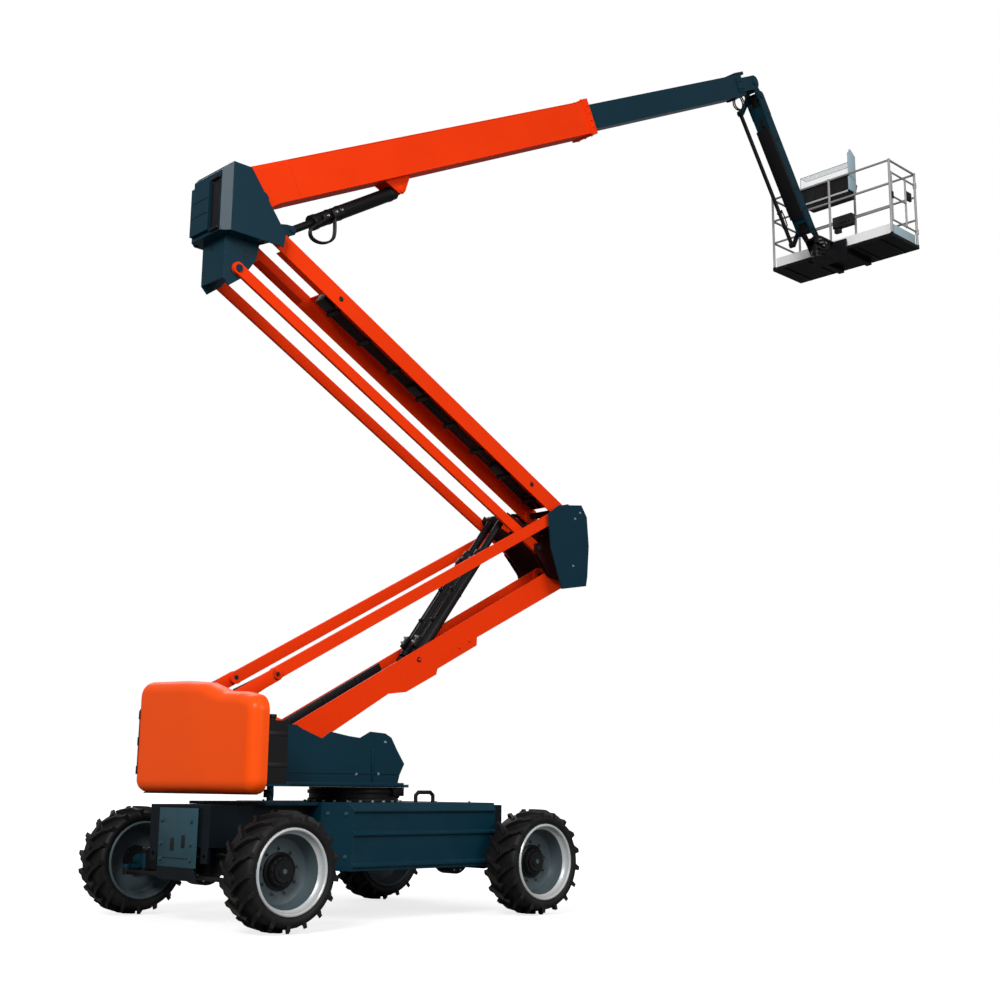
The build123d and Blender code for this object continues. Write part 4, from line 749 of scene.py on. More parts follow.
class LIFT_OT_axles(PieceOperator):
    """Axle covers, kingpin caps, their bolts and the brake hoses"""
    bl_idname = "lift.axles"
    bl_label = "Axles"

    def execute(self, context):
        sizes = context.scene.boom_lift.sizes
        covers, bolts = Shape(), Shape()
        wheel_z = AT["wheel_front_near_spin"].z
        for end, way in ENDS:
            x = AT[f"wheel_{end}_near_spin"].x
            # the domed cover of the middle housing, its ring of bolts and the brackets' bolts
            centre = Vector((x, 0, wheel_z))
            covers.spun([(0.150, -0.087), (0.156, -0.080), (0.156, 0.080), (0.150, 0.087)], centre, steps=48)
            for side in BOTH:
                for spot in circle(centre, 0.125, 10):
                    bolts.bolt(spot + ACROSS * side * 0.085, ACROSS * side, 0.010, washer=False)
                for dx in (-0.085, 0.085):
                    bolts.bolt((x + dx, side * 0.30, 0.60), (0, 0, -1), 0.012)
            covers.bar((x + way * 0.145, 0, wheel_z), (x + way * 0.165, 0, wheel_z), 0.045, 28, 0.038)
        for kingpin in (AT["steer_near"], AT["steer_far"]):
            x, y = AT["steer_near"].x, kingpin.y
            for z, up in ((wheel_z + 0.092, 1), (wheel_z - 0.092, -1)):
                covers.post(x, y, z, z + up * 0.010, 0.050, 28, 0.044)
                for turn in (0.8, 0.8 + math.pi * 2 / 3, 0.8 + math.pi * 4 / 3):
                    seat = (x + 0.034 * math.cos(turn), y + 0.034 * math.sin(turn), z + up * 0.008)
                    bolts.bolt(seat, (0, 0, up), 0.007, washer=False)
        covers.piece("axle_covers", "dark", "chassis", bevel=0.002)
        bolts.piece("axle_bolts", "bolt", "chassis")
        for end, way in ENDS:
            x = AT[f"wheel_{end}_near_spin"].x
            for side_name, side in SIDES:
                points = [(x + way * dx, side * y, z) for dx, y, z in (
                    (0.06, 0.20, 0.535), (0.10, 0.26, 0.555), (0.115, 0.36, 0.550), (0.10, 0.46, 0.553),
                    (0.06, 0.52, 0.530))]
                hose(f"brake_hose_{end}_{side_name}", points, sizes.hose * 0.7, "chassis")
        return {"FINISHED"}


# height of the lower arm's foot pin over the turntable's base plate
RISER_PIN_HEIGHT = 0.332


class LIFT_OT_turntable(PieceOperator):
    """Side ledge, swing drive, tank fittings, ground controls, tail hinge and link bracket covers"""
    bl_idname = "lift.turntable"
    bl_label = "Turntable"

    def execute(self, context):
        self.sides(AT["riser_lift"].z - RISER_PIN_HEIGHT)
        self.swing_drive(context.scene.boom_lift.sizes.hose * 0.7)
        self.tank()
        self.tail()
        self.link_covers()
        self.lock_pin()
        return {"FINISHED"}

    def sides(self, deck):
        made = Shape()
        # a folded ledge along the foot of the near side plate, with its lip
        made.box((-1.14, -0.478, deck + 0.002), (0.345, -0.440, deck + 0.014))
        made.box((-1.14, -0.484, deck - 0.020), (0.345, -0.476, deck + 0.014))
        made.box((-1.14, -0.446, deck + 0.085), (0.33, -0.4395, deck + 0.095))
        for side in BOTH:
            # stiffeners up the side plates
            for x, top in ((-0.95, 0.36), (0.02, 0.30)):
                made.box((x - 0.006, side * 0.439, deck + 0.02), (x + 0.006, side * 0.452, deck + top))
        made.piece("side_ledge", "frame", "turntable", bevel=0.0025)
        made = Shape()
        spots = ((-0.153, 0.084), (0.088, 0.087), (0.16, 0.36))
        made.side_bolts([(x, deck + z) for x, z in spots], 0.440, 0.009)
        made.piece("side_bolts", "stud", "turntable")

    def swing_drive(self, diameter):
        """Motor, hoses and a seal ring under the front of the base plate."""
        made = Shape()
        made.post(0.575, 0.02, 0.985, 1.0745, 0.058, 32)
        made.post(0.575, 0.02, 0.968, 0.987, 0.040, 24, 0.050)
        made.box((0.535, -0.16, 1.03), (0.60, -0.05, 1.0745))
        made.box((0.30, -0.40, 1.00), (0.42, -0.33, 1.0745))
        seal = ((0.392, 1.020), (0.404, 1.020), (0.404, 1.050), (0.392, 1.050))
        made.spun(seal, Vector((0.17, 0, 0)), UP, 72)
        made.piece("swing_drive", "dark", "turntable", bevel=0.002)
        for index, (x, y) in enumerate(((0.36, -0.36), (0.33, -0.35), (0.39, -0.37))):
            points = [(x + dx, y + dy, z) for dx, dy, z in (
                (0, 0, 1.012), (0.03, 0.06, 0.990), (0.10, 0.14, 0.985), (0.17, 0.20, 0.995),
                (0.20, 0.24, 1.040))]
            hose(f"swing_hose_{index + 1}", points, diameter, "turntable")

    def tank(self):
        """Filler cap, breather and straps of the tank, and the ground controls ahead of it."""
        low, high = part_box("hydraulic_tank")
        made = Shape()
        x, y = low.x + 0.09, low.y + 0.10
        made.post(x, y, high.z - 0.002, high.z + 0.020, 0.040, 28)
        made.post(x, y, high.z + 0.020, high.z + 0.050, 0.048, 12)
        made.post(x, low.y + 0.26, high.z - 0.002, high.z + 0.035, 0.022, 20)
        for z in (low.z + 0.12, low.z + 0.36):
            made.box((low.x, low.y - 0.004, z), (high.x + 0.004, high.y, z + 0.035))
        made.piece("tank_fittings", "plastic", "turntable", bevel=0.0025)
        x, z = high.x, low.z
        blocks("ground_control_box", "dark", "turntable",
               ((x + 0.003, -0.62, z + 0.16), (x + 0.085, -0.46, z + 0.40)), bevel=0.008, segments=3)
        blocks("ground_control_panel", "wheel", "turntable",
               ((x + 0.085, -0.60, z + 0.19), (x + 0.089, -0.48, z + 0.37)), bevel=0.0015)
        made = Shape()
        for y in (-0.575, -0.54, -0.505):
            for up in (0.22, 0.26, 0.30):
                made.bar((x + 0.088, y, z + up), (x + 0.100, y, z + up), 0.007, 14, 0.005)
        made.piece("ground_switches", "plastic", "turntable")
        made = Shape()
        made.ball((x + 0.098, -0.54, z + 0.345), 0.016)
        made.piece("ground_stop_button", "red", "turntable")

    def tail(self):
        """Hinge strip on the tail's far rear corner, a thin black strip as painted shade under the cowl's
        bottom edge, and cover screws.
        """
        low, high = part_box("rear_cowl")
        place = Matrix(((-0.867, 0.498, 0), (-0.498, -0.867, 0), UP)).transposed().to_4x4()
        place.translation = (-1.5067, high.y - 0.050, 0)
        knuckles = [((-0.004, -0.020, z - 0.035), (0.013, 0.020, z + 0.035)) for z in (1.20, 1.44, 1.66)]
        blocks("tail_hinge", "dark", "turntable", ((-0.004, -0.014, 1.17), (0.007, 0.014, 1.71)), *knuckles,
               place=place, bevel=0.002)
        # thin black strip along the bottom, behind the rounded corners: painted shade under the cowl's
        # rounded edge
        bottom_shade = ((low.x + 0.055, low.y + 0.10, low.z - 0.006), (high.x - 0.01, high.y - 0.10, low.z + 0.004))
        blocks("tail_bottom_shade", "plastic", "turntable", bottom_shade, bevel=0.002)
        made = Shape()
        for z in (0.16, 0.52):
            made.bolt((high.x - 0.035, high.y, low.z + z), ACROSS, 0.009)
        made.piece("tail_screws", "tail", "turntable")

    def link_covers(self):
        """Painted covers over the brackets that hold the lower links' feet."""
        foot = AT["lower_links_turn"]
        made = Shape(LOWER_ARM.copy())
        made.place.translation = (foot.x, 0, foot.z)
        for side in BOTH:
            made.box((-0.520, side * 0.3062, -0.0565), (0.0, side * 0.3315, 0.0565))
            made.bar((0, side * 0.3062, 0), (0, side * 0.3315, 0), 0.0565, 40)
        made.piece("link_bracket_covers", "boom", "turntable", bevel=0.003)
        pin_caps("lower_link_feet", "turntable", "plastic", ((foot, 0.3315, 0.017, BOTH),))

    def lock_pin(self):
        """Handle and guide of the transport lock."""
        made = Shape()
        made.post(-1.0, -0.38, 0.985, 1.050, 0.042)
        made.pipe([(-1.0, -0.38, 1.03), (-1.04, -0.47, 1.03), (-1.05, -0.50, 1.00)], 0.008)
        made.piece("lock_pin_guide", "dark", "turntable", bevel=0.002)


class LIFT_OT_engine(PieceOperator):
    """Louvres, latches and handle of the door, and the exhaust, intake and bolts on the roof"""
    bl_idname = "lift.engine"
    bl_label = "Engine bay"

    def execute(self, context):
        low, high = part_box("engine_door")
        face = high.y
        made = Shape()
        for row in range(9):
            z = low.z + 0.10 + row * 0.032
            for x in (-1.20, -0.80):
                for vert in made.box((x, face - 0.002, z), (x + 0.32, face + 0.010, z + 0.020)):
                    if vert.co.y > face and vert.co.z > z + 0.01:
                        vert.co.y = face - 0.001
        made.piece("door_louvres", "tail", "engine_door", bevel=0.0012)
        made = Shape()
        for z in (low.z + 0.10, low.z + 0.34):
            made.box((-0.015, face - 0.001, z - 0.025), (0.055, face + 0.008, z + 0.025))
            made.bar((0.015, face + 0.006, z), (0.015, face + 0.014, z), 0.016)
        made.pipe([(-0.12, face + y, low.z + z) for y, z in ((-0.002, 0.20), (0.030, 0.20), (0.030, 0.32),
                                                             (-0.002, 0.32))], 0.007)
        made.piece("door_latches", "plastic", "engine_door", bevel=0.002)
        made = Shape()
        # exhaust stub with its rain flap, and the air intake's cap
        made.post(-0.62, 0.66, 1.70, 1.80, 0.028)
        made.bar((-0.62, 0.66, 1.795), (-0.60, 0.66, 1.803), 0.030)
        made.post(-1.05, 0.66, 1.80, 1.875, 0.050, 32)
        made.post(-1.05, 0.66, 1.875, 1.895, 0.062, 32, 0.040)
        made.piece("exhaust_stub", "dark", "turntable", bevel=0.002)
        made = Shape()
        for x, z in ((-1.30, 1.842), (-1.0, 1.832), (-0.40, 1.688), (0.02, 1.575)):
            for y in (0.475, 0.84):
                made.bolt((x, y, z - 0.004), UP, 0.009)
        made.piece("hood_bolts", "bolt", "turntable")
        return {"FINISHED"}


class LIFT_OT_riser(PieceOperator):
    """Hoses, clamps, pin caps and cylinder fittings of the two riser arms, the knee and the head"""
    bl_idname = "lift.riser"
    bl_label = "Riser"

    def execute(self, context):
        diameter = context.scene.boom_lift.sizes.hose
        self.lower_arm(diameter)
        self.upper_arm(diameter)
        self.knee(diameter)
        self.cylinders()
        self.head()
        return {"FINISHED"}

    def lower_arm(self, diameter):
        rows = (-0.036, -0.012, 0.012, 0.036)
        hose_run("lower_riser_hose", "lower_arm", LOWER_ARM, 0.16, 3.62, rows, -0.084, diameter * 0.85,
                 wave=0.0015)
        made = Shape(LOWER_ARM)
        made.clamps((0.40, 1.00, 1.45, 2.10, 2.80, 3.40), rows, -0.084, diameter)
        for x in (0.62, 1.22, 2.55, 3.25):
            made.bar((x, -0.146, -0.060), (x, 0.146, -0.060), 0.016, 20)
        # black boxes lining the inside of each side plate, behind the cylinders' foot: painted shade on the
        # inner faces, shaped like a cable tray
        for side in BOTH:
            made.box((0.16, side * 0.118, -0.030), (1.46, side * 0.147, 0.088))
            for x in (0.30, 0.72, 1.14):
                made.box((x, side * 0.108, -0.020), (x + 0.05, side * 0.120, 0.080))
        made.piece("lower_riser_clamps_and_shade", "plastic", "lower_arm", bevel=0.002)
        made, bolts = Shape(LOWER_ARM), Shape(LOWER_ARM)
        # the dark ends of the cylinders' foot pin, and their keepers
        made.plugs(RISER_FOOT.x, 0.157, 0.027, 0.024)
        made.piece("lower_riser_plugs", "plastic", "lower_arm")
        bolts.side_bolts(((RISER_FOOT.x, 0),), 0.160, 0.012, washer=False)
        bolts.side_bolts(((2.2, -0.10), (2.35, -0.10)), 0.157, 0.010)
        bolts.piece("lower_riser_bolts", "boom", "lower_arm")

    def upper_arm(self, diameter):
        rows = (-0.060, -0.030, 0.0, 0.030, 0.060)
        hose_run("upper_riser_hose", "upper_arm", UPPER_ARM, 0.13, 3.28, rows, 0.012, diameter, 0.007)
        made = Shape(UPPER_ARM)
        stations = [0.26 + 0.42 * index for index in range(8)]
        made.clamps(stations, rows, 0.012, diameter * 1.1, 0.022)
        for index, x in enumerate(stations):
            # a hanger from the top plate on each side of the hoses, and a valve block at every third
            for y in (-0.085, 0.085):
                made.box((x - 0.012, y - 0.006, -0.074), (x + 0.012, y + 0.006, 0.030))
            if index % 3 == 1:
                made.box((x + 0.07, -0.11, -0.03), (x + 0.20, 0.02, 0.055))
        made.piece("upper_riser_clamps", "plastic", "upper_arm", bevel=0.002)
        made = Shape(UPPER_ARM)
        # the top plate's end over the knee
        made.box((0.02, -0.209, -0.0845), (0.136, 0.209, -0.0735))
        for side in BOTH:
            made.box((0.55, side * 0.206, 0.060), (3.20, side * 0.214, 0.078))
            # flanges under its head end, open in the middle for the lift cylinder's hoses
            made.box((3.46, side * 0.128, 0.064), (4.02, side * 0.209, 0.074))
        made.piece("upper_riser_plates", "boom", "upper_arm", bevel=0.002)
        made = Shape(UPPER_ARM)
        made.plugs(0.47, 0.220, 0.026, 0.023)
        made.plugs(3.30, 0.220, 0.026, 0.023)
        made.piece("upper_riser_plugs", "plastic", "upper_arm")

    def knee(self, diameter):
        pin_caps("knee_ears", "mid_link", "plastic", ((AT["upper_links_turn"], 0.222, 0.028, BOTH),))
        made = Shape()
        made.side_bolts(((2.76, 3.874), (2.684, 3.80), (2.654, 3.307)), 0.350, 0.009)
        made.piece("knee_bolts", "stud", "mid_link")
        saddles = [((2.795, -0.07, z - 0.015), (2.83 + (z - 3.2) * 0.05, 0.07, z + 0.015))
                   for z in (3.28, 3.52, 3.76)]
        blocks("knee_clamps", "plastic", "mid_link", *saddles, bevel=0.002)
        for index, y in enumerate((-0.045, -0.015, 0.015, 0.045)):
            points = [(2.786, y, 3.215), (2.792, y * 1.1, 3.33), (2.800, y * 0.9, 3.46),
                      (2.806, y * 1.1, 3.60), (2.812, y, 3.74), (2.812, y, 3.84)]
            hose(f"knee_hose_{index + 1}", points, diameter * 0.85, "mid_link")

    def cylinders(self):
        """Glands, bands, valve blocks, pipes and ports of the riser's lift cylinders."""
        place = arm_frame(LOWER_ARM @ RISER_FOOT, AT["mid_link_turn"] + Vector((-0.749, 0, 0.477)))
        made, ports = Shape(place), Shape(place)
        barrel = 0.058
        for side in BOTH:
            y = side * 0.080
            made.ring(1.360, y, barrel, 0.058)
            made.ring(0.075, y, barrel, 0.030, 0.003)
            made.box((0.10, y - 0.024, 0.052), (0.22, y + 0.024, 0.098))
            made.box((1.20, y - 0.020, 0.052), (1.27, y + 0.020, 0.084))
            made.bar((0.20, y, 0.074), (1.21, y, 0.074), 0.009, 14)
            for x in (0.45, 0.85):
                made.ring(x, y, barrel, 0.018, 0.003)
                made.box((x - 0.012, y - 0.016, 0.055), (x + 0.012, y + 0.016, 0.086))
            for x in (0.13, 0.19):
                ports.fitting((x, y, 0.096), UP)
        made.piece("riser_cylinder_fittings", "dark", "riser_cylinder_barrels", bevel=0.0015)
        ports.piece("riser_cylinder_ports", "bolt", "riser_cylinder_barrels")

    def head(self):
        """The riser head's groove with a dark sheet as painted shade, its panel edges, and black discs as
        painted shade in its holes.
        """
        pivot = AT["riser_head_turn"]
        rear, base, top = pivot.x - 0.530, pivot.z - 0.140, pivot.z + 0.490
        # a thin dark sheet across the groove: painted shade
        blocks("head_groove_shade", "dark", "riser_head",
               ((rear - 0.004, -0.205, base + 0.015), (rear + 0.001, -0.066, top - 0.110)), bevel=0.001)
        # seams of the raised panel, one sheet over another, and of the groove
        seams = [((rear - 0.031, -0.052, z), (rear - 0.027, 0.207, z + 0.006))
                 for z in (base + 0.20, base + 0.335)]
        seams += [((rear - 0.022, -0.21, z - 0.012), (rear - 0.003, -0.07, z + 0.012))
                  for z in (base + 0.03, top - 0.135)]
        blocks("head_seams", "dark", "riser_head", *seams, bevel=0.001)
        made = Shape()
        # black discs on the foot's plates, standing for their round holes: painted shade of the holes
        made.bar((rear + 0.0905, 0.027, 5.660), (rear + 0.087, 0.027, 5.660), 0.022, 28)
        for side in BOTH:
            made.bar((-1.33, side * 0.172, 5.60), (-1.33, side * 0.176, 5.60), 0.026, 28)
        made.piece("head_hole_shade", "plastic", "riser_head")


class LIFT_OT_boom(PieceOperator):
    """Collar bolts, weld seams, lift cylinder fittings and the boom tip's sensor and hoses"""
    bl_idname = "lift.boom"
    bl_label = "Boom"

    def execute(self, context):
        diameter = context.scene.boom_lift.sizes.hose
        made, seams = Shape(BOOM), Shape(BOOM)
        collar = 5.115
        made.side_bolts([(collar, above) for above in (-0.12, -0.04, 0.04, 0.12)], 0.158, 0.010)
        for y in (-0.10, 0.0, 0.10):
            for above in BOTH:
                made.bolt((collar, y, above * 0.203), UP * above, 0.010)
        made.piece("boom_bolts", "boom", "primary_boom")
        # weld seams down both sides and a rear cover in the tube's open end
        for side in BOTH:
            for above in (-0.1795, 0.1795):
                seams.bar((0.66, side * 0.1395, above), (5.06, side * 0.1395, above), 0.0035, 8)
        seams.box((0.200, -0.128, -0.172), (0.212, 0.128, 0.172))
        seams.piece("boom_seams", "boom", "primary_boom")
        pin_caps("boom_lug", "primary_boom", "boom", ((LIFT_TOP, 0.086, 0.034, BOTH),))
        self.lift_cylinder(diameter)
        self.tip(diameter * 0.8)
        return {"FINISHED"}

    def lift_cylinder(self, diameter):
        """Gland, bands, valve block, pipe, ports and the hose loop at the barrel's lower end."""
        place = arm_frame(LIFT_TOP, LIFT_FOOT)
        made, ports = Shape(place), Shape(place)
        barrel = 0.068
        bands = (1.150, 0.060, 0.006), (0.110, 0.030, 0.004), (0.820, 0.022, 0.004), (0.960, 0.016, 0.004)
        for x, width, grow in bands:
            made.ring(x, 0, barrel, width, grow)
        made.box((0.84, -0.122, -0.040), (0.98, -0.062, 0.030))
        made.box((0.99, -0.100, -0.030), (1.09, -0.062, 0.024))
        made.bar((0.16, -0.082, 0.0), (0.86, -0.082, 0.0), 0.010, 14)
        made.piece("lift_cylinder_block", "dark", "boom_cylinder_barrel", bevel=0.002)
        for spot in ((0.875, -0.120, -0.010), (0.945, -0.120, -0.010), (1.04, -0.098, -0.005)):
            ports.fitting(spot, -ACROSS, reach=0.022)
        ports.piece("lift_cylinder_ports", "bolt", "boom_cylinder_barrel")
        for index, y in enumerate((-0.095, -0.070)):
            points = [place @ Vector((1.06, y, 0.015)), place @ Vector((1.17, y - 0.012, 0.030)),
                      (-0.600, y - 0.010, 6.085), (-0.585, y, 6.000), (-0.470, y, 5.975), (-0.345, y, 6.030),
                      (-0.300, y, 6.120), place @ Vector((0.955, y, 0.030))]
            hose(f"lift_hose_{index + 1}", points, diameter, "boom_cylinder_barrel")

    def tip(self, diameter):
        """Sensor, bolts and hoses at the extension's tip."""
        blocks("tip_sensor", "plastic", "extension_boom", ((8.44, -0.075, 0.132), (8.64, 0.075, 0.1745)),
               ((8.26, -0.060, -0.160), (8.34, 0.060, -0.138)), place=BOOM, bevel=0.006, segments=3)
        made = Shape(BOOM)
        made.side_bolts([(x, above) for x in (8.40, 8.46) for above in (-0.05, 0.05)], 0.112, 0.010)
        made.piece("tip_bolts", "frame", "extension_boom")
        pin_caps("boom_tip", "extension_boom", "frame", ((BOOM_END, 0.112, 0.045, BOTH),))
        for index, y in enumerate((-0.045, -0.020)):
            points = [(x, y, above) for x, above in (
                (8.30, -0.158), (8.26, -0.215), (8.32, -0.290), (8.43, -0.300), (8.50, -0.235),
                (8.49, -0.150), (8.45, -0.120))]
            hose(f"tip_hose_{index + 1}", points, diameter, "extension_boom", BOOM)


class LIFT_OT_jib(PieceOperator):
    """Hoses, clamps, guard, bosses and bolts on the jib, and its pin caps"""
    bl_idname = "lift.jib"
    bl_label = "Jib"

    def execute(self, context):
        diameter = context.scene.boom_lift.sizes.hose * 0.8
        rows = (-0.050, -0.020, 0.012)
        hose_run("jib_hose", "jib", JIB, 0.26, 1.62, rows, -0.086, diameter, 0.003)
        made, guard = Shape(JIB), Shape(JIB)
        made.clamps((0.36, 0.72, 1.10, 1.50), rows, -0.086, diameter, 0.014)
        for x in (0.60, 1.30):
            made.box((x - 0.02, -0.104, -0.05), (x + 0.02, -0.0995, 0.05))
        made.piece("jib_clamps", "plastic", "jib", bevel=0.0015)
        # folded guard over the hoses
        guard.box((0.42, -0.098, -0.112), (1.68, 0.098, -0.105))
        for side in BOTH:
            guard.box((0.42, side * 0.092, -0.107), (1.68, side * 0.098, -0.074))
        guard.piece("jib_guard", "dark", "jib", bevel=0.002)
        made, bolts = Shape(JIB), Shape(JIB)
        # boss and web between the ears at each end
        for pin, low, high in ((0.0, 0.0, 0.22), (JIB_LENGTH, JIB_LENGTH - 0.22, JIB_LENGTH)):
            made.bar((pin, -0.066, 0), (pin, 0.066, 0), 0.056, 32)
            made.box((low, -0.045, -0.050), (high, 0.045, 0.050))
        made.piece("jib_bosses", "dark", "jib", bevel=0.002)
        bolts.side_bolts(((0.24, 0), (JIB_LENGTH - 0.30, 0)), 0.108, 0.009)
        bolts.piece("jib_bolts", "frame", "jib")
        foot, head = AT["jib_lift"], AT["platform_level"]
        pin_caps("jib_foot", "jib_head", "frame", ((foot, 0.112, 0.032, (-1,)),))
        pin_caps("jib_end", "platform_bracket", "dark",
                 ((head, 0.112, 0.032, (-1,)), (head, 0.128, 0.032, (1,))))
        lower = Vector((-0.110, 0, -0.200))
        made = Shape(arm_frame(foot + lower, head + lower))
        for x in (1.42, 1.62):
            made.bar((x - 0.012, 0.155, 0), (x + 0.012, 0.155, 0), 0.034, 28)
        made.pipe([(x, 0.155, z) for x, z in ((1.42, 0.030), (1.40, 0.075), (1.50, 0.085), (1.62, 0.075),
                                              (1.62, 0.030))], 0.008)
        made.piece("rod_clamps", "dark", "jib_rod", bevel=0.0015)
        return {"FINISHED"}


class LIFT_OT_platform(PieceOperator):
    """Floor grid, toe board, gate latch, console controls and rotator fittings"""
    bl_idname = "lift.platform"
    bl_label = "Platform"

    def execute(self, context):
        low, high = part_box("platform_floor")
        rails_low, rails_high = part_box("platform_rails")
        self.floor(low, high, rails_low.z)
        self.gate(high.x, rails_low.z)
        self.post_caps(rails_low, rails_high)
        self.console(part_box("control_console")[0], rails_high.z)
        self.rotator(context.scene.boom_lift.sizes.hose * 0.75)
        return {"FINISHED"}

    def floor(self, low, high, tread):
        """Tread bars, cross members under the floor and the gate side's toe board."""
        made = Shape()
        x0, x1, y0, y1 = low.x + 0.05, high.x - 0.05, low.y + 0.02, high.y - 0.05
        for index in range(26):
            y = y0 + (y1 - y0) * (index + 0.5) / 26
            made.box((x0, y - 0.006, tread - 0.001), (x1, y + 0.006, tread + 0.006))
        for index in range(6):
            x = x0 + (x1 - x0) * (index + 0.5) / 6
            made.box((x - 0.004, y0, tread - 0.001), (x + 0.004, y1, tread + 0.004))
        made.piece("floor_grid", "dark", "platform")
        made = Shape()
        for index in range(5):
            y = low.y + 0.20 + index * 0.38
            # none at the mount
            if abs(y) > 0.28:
                made.box((low.x + 0.02, y - 0.014, low.z - 0.012), (high.x - 0.02, y + 0.014, low.z + 0.001))
        made.piece("floor_members", "dark", "platform", bevel=0.003)
        blocks("gate_toe_board", "pale", "platform",
               ((low.x + 0.045, low.y + 0.030, tread), (high.x - 0.045, low.y + 0.036, tread + 0.150)),
               ((high.x - 0.030, low.y + 0.045, tread + 0.002),
                (high.x - 0.026, low.y + 0.50, tread + 0.150)), bevel=0.0012)

    def gate(self, outer, tread):
        low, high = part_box("platform_gate")
        latch, y = low.x + 0.014, (low.y + high.y) / 2
        blocks("gate_latch", "plastic", "platform_gate",
               ((latch - 0.022, y - 0.020, tread + 0.50), (latch + 0.020, y + 0.020, tread + 0.60)),
               ((outer - 0.27, y - 0.016, tread + 0.60), (outer - 0.14, y + 0.016, tread + 0.72)),
               bevel=0.003)
        made = Shape()
        for hinge in (0.20, 0.88):
            for dz in (-0.033, 0.033):
                z = tread + hinge + dz
                made.post(outer - 0.017, y, z - 0.003, z + 0.003, 0.0245, 28)
        made.piece("gate_collars", "bolt", "platform_gate")

    def post_caps(self, low, high):
        made = Shape()
        for x in (low.x + 0.017, high.x - 0.017):
            for y in (low.y + 0.017, 0.0, high.y - 0.017):
                made.post(x, y, high.z - 0.012, high.z, 0.0185, 24, 0.014)
                made.post(x, y, low.z, low.z + 0.012, 0.025, 24, 0.019)
        made.piece("post_caps", "dark", "platform")

    def console(self, low, top):
        """Shield, switch panel, levers, stop button, clear lid and tray on the control box."""
        x0 = low.x
        made = Shape()
        # pale faces on the shield at the box's near end
        y0, y1 = low.y - 0.004, low.y + 0.011
        made.box((x0 - 0.001, y0, top - 0.236), (x0 + 0.183, y1, top + 0.301))
        for vert in made.box((x0 - 0.001, y0, top + 0.300), (x0 + 0.183, y1, top + 0.3795)):
            if vert.co.z > top + 0.35:
                vert.co.x = x0 + 0.060 + (0.006 if vert.co.x > x0 + 0.09 else -0.006)
        made.piece("console_shield", "pale", "platform", bevel=0.002)
        slope = Matrix.Translation((x0, 0, top - 0.020)) @ Matrix.Rotation(math.atan2(0.090, 0.230), 4, "Y")
        made = Shape(slope)
        made.box((0.012, -0.285, 0.0), (0.235, 0.465, 0.006))
        made.place = HERE
        made.box((x0 - 0.006, -0.292, top - 0.262), (x0 + 0.002, 0.475, top - 0.236))
        made.piece("console_panel", "wheel", "platform", bevel=0.0015)
        made = Shape(slope)
        for y in (-0.18, 0.02, 0.36):
            # a lever's boot, stem, grip and knob
            made.post(0.12, y, 0.004, 0.020, 0.030, 28, 0.014)
            made.post(0.12, y, 0.018, 0.075, 0.008, 16)
            made.post(0.12, y, 0.075, 0.130, 0.014, 20, 0.019)
            made.ball((0.12, y, 0.132), 0.019)
        for x in (0.055, 0.175):
            for column in (0, 1, 2, 4, 5, 6, 7):
                made.post(x, -0.24 + column * 0.085, 0.005, 0.017, 0.008, 14, 0.006)
        made.place = HERE
        # ribs over the box's outer face
        for y in (-0.22, -0.06, 0.10, 0.26, 0.42):
            made.box((x0 - 0.006, y - 0.010, top - 0.215), (x0 + 0.002, y + 0.010, top - 0.045))
        made.piece("console_controls", "plastic", "platform", bevel=0.001)
        made = Shape(slope)
        made.post(0.12, 0.20, 0.004, 0.022, 0.010, 16)
        made.post(0.12, 0.20, 0.020, 0.036, 0.022, 28, 0.018)
        made.piece("platform_stop_button", "red", "platform", bevel=0.0015)
        lid = top + 0.165
        blocks("console_lid", "clear", "platform",
               ((x0 + 0.002, -0.292, top - 0.02), (x0 + 0.005, 0.470, lid)),
               ((x0 + 0.002, -0.292, lid - 0.003), (x0 + 0.150, 0.470, lid)))
        made = Shape()
        edge, front, far = x0 + 0.003, x0 + 0.150, 0.472
        for a, b in (((edge, -0.294, lid), (edge, far, lid)), ((front, -0.294, lid), (front, far, lid)),
                     ((edge, far, lid), (front, far, lid)), ((edge, far, lid), (edge, far, top - 0.02))):
            made.bar(a, b, 0.004, 12)
        made.piece("console_lid_frame", "rails", "platform")
        # shallow tool tray under the box: floor, ends and outer lip
        x, z = x0 + 0.004, top - 0.330
        blocks("console_tray", "dark", "platform",
               ((x, -0.285, z), (x0 + 0.170, 0.380, z + 0.008)),
               ((x, -0.285, z), (x0 + 0.170, -0.277, top - 0.236)),
               ((x, 0.372, z), (x0 + 0.170, 0.380, top - 0.236)),
               ((x, -0.285, z), (x0 + 0.010, 0.380, z + 0.065)), bevel=0.002)

    def rotator(self, diameter):
        """Rotary actuator flanges, their bolts, a valve block and clamped hoses."""
        x, middle = AT["platform_rotate"].x, AT["platform_level"].z - 0.170
        mount_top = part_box("platform_mount")[1].z
        made = Shape()
        for z in (middle - 0.105, middle + 0.060):
            made.post(x, 0, z, z + 0.045, 0.094, 40)
        made.box((x - 0.10, -0.150, middle - 0.05), (x + 0.02, -0.086, middle + 0.05))
        made.box((x - 0.22, -0.140, middle - 0.02), (x - 0.10, -0.090, middle + 0.07))
        made.piece("rotator_flanges", "dark", "platform_bracket", bevel=0.002)
        made = Shape()
        for spot in circle((x, 0, mount_top - 0.002), 0.060, 10, flat=True):
            made.bolt(spot, UP, 0.008)
        made.post(x, 0, mount_top - 0.002, mount_top + 0.022, 0.030, 28, 0.022)
        made.piece("rotator_bolts", "stud", "platform")
        made, ports = Shape(), Shape()
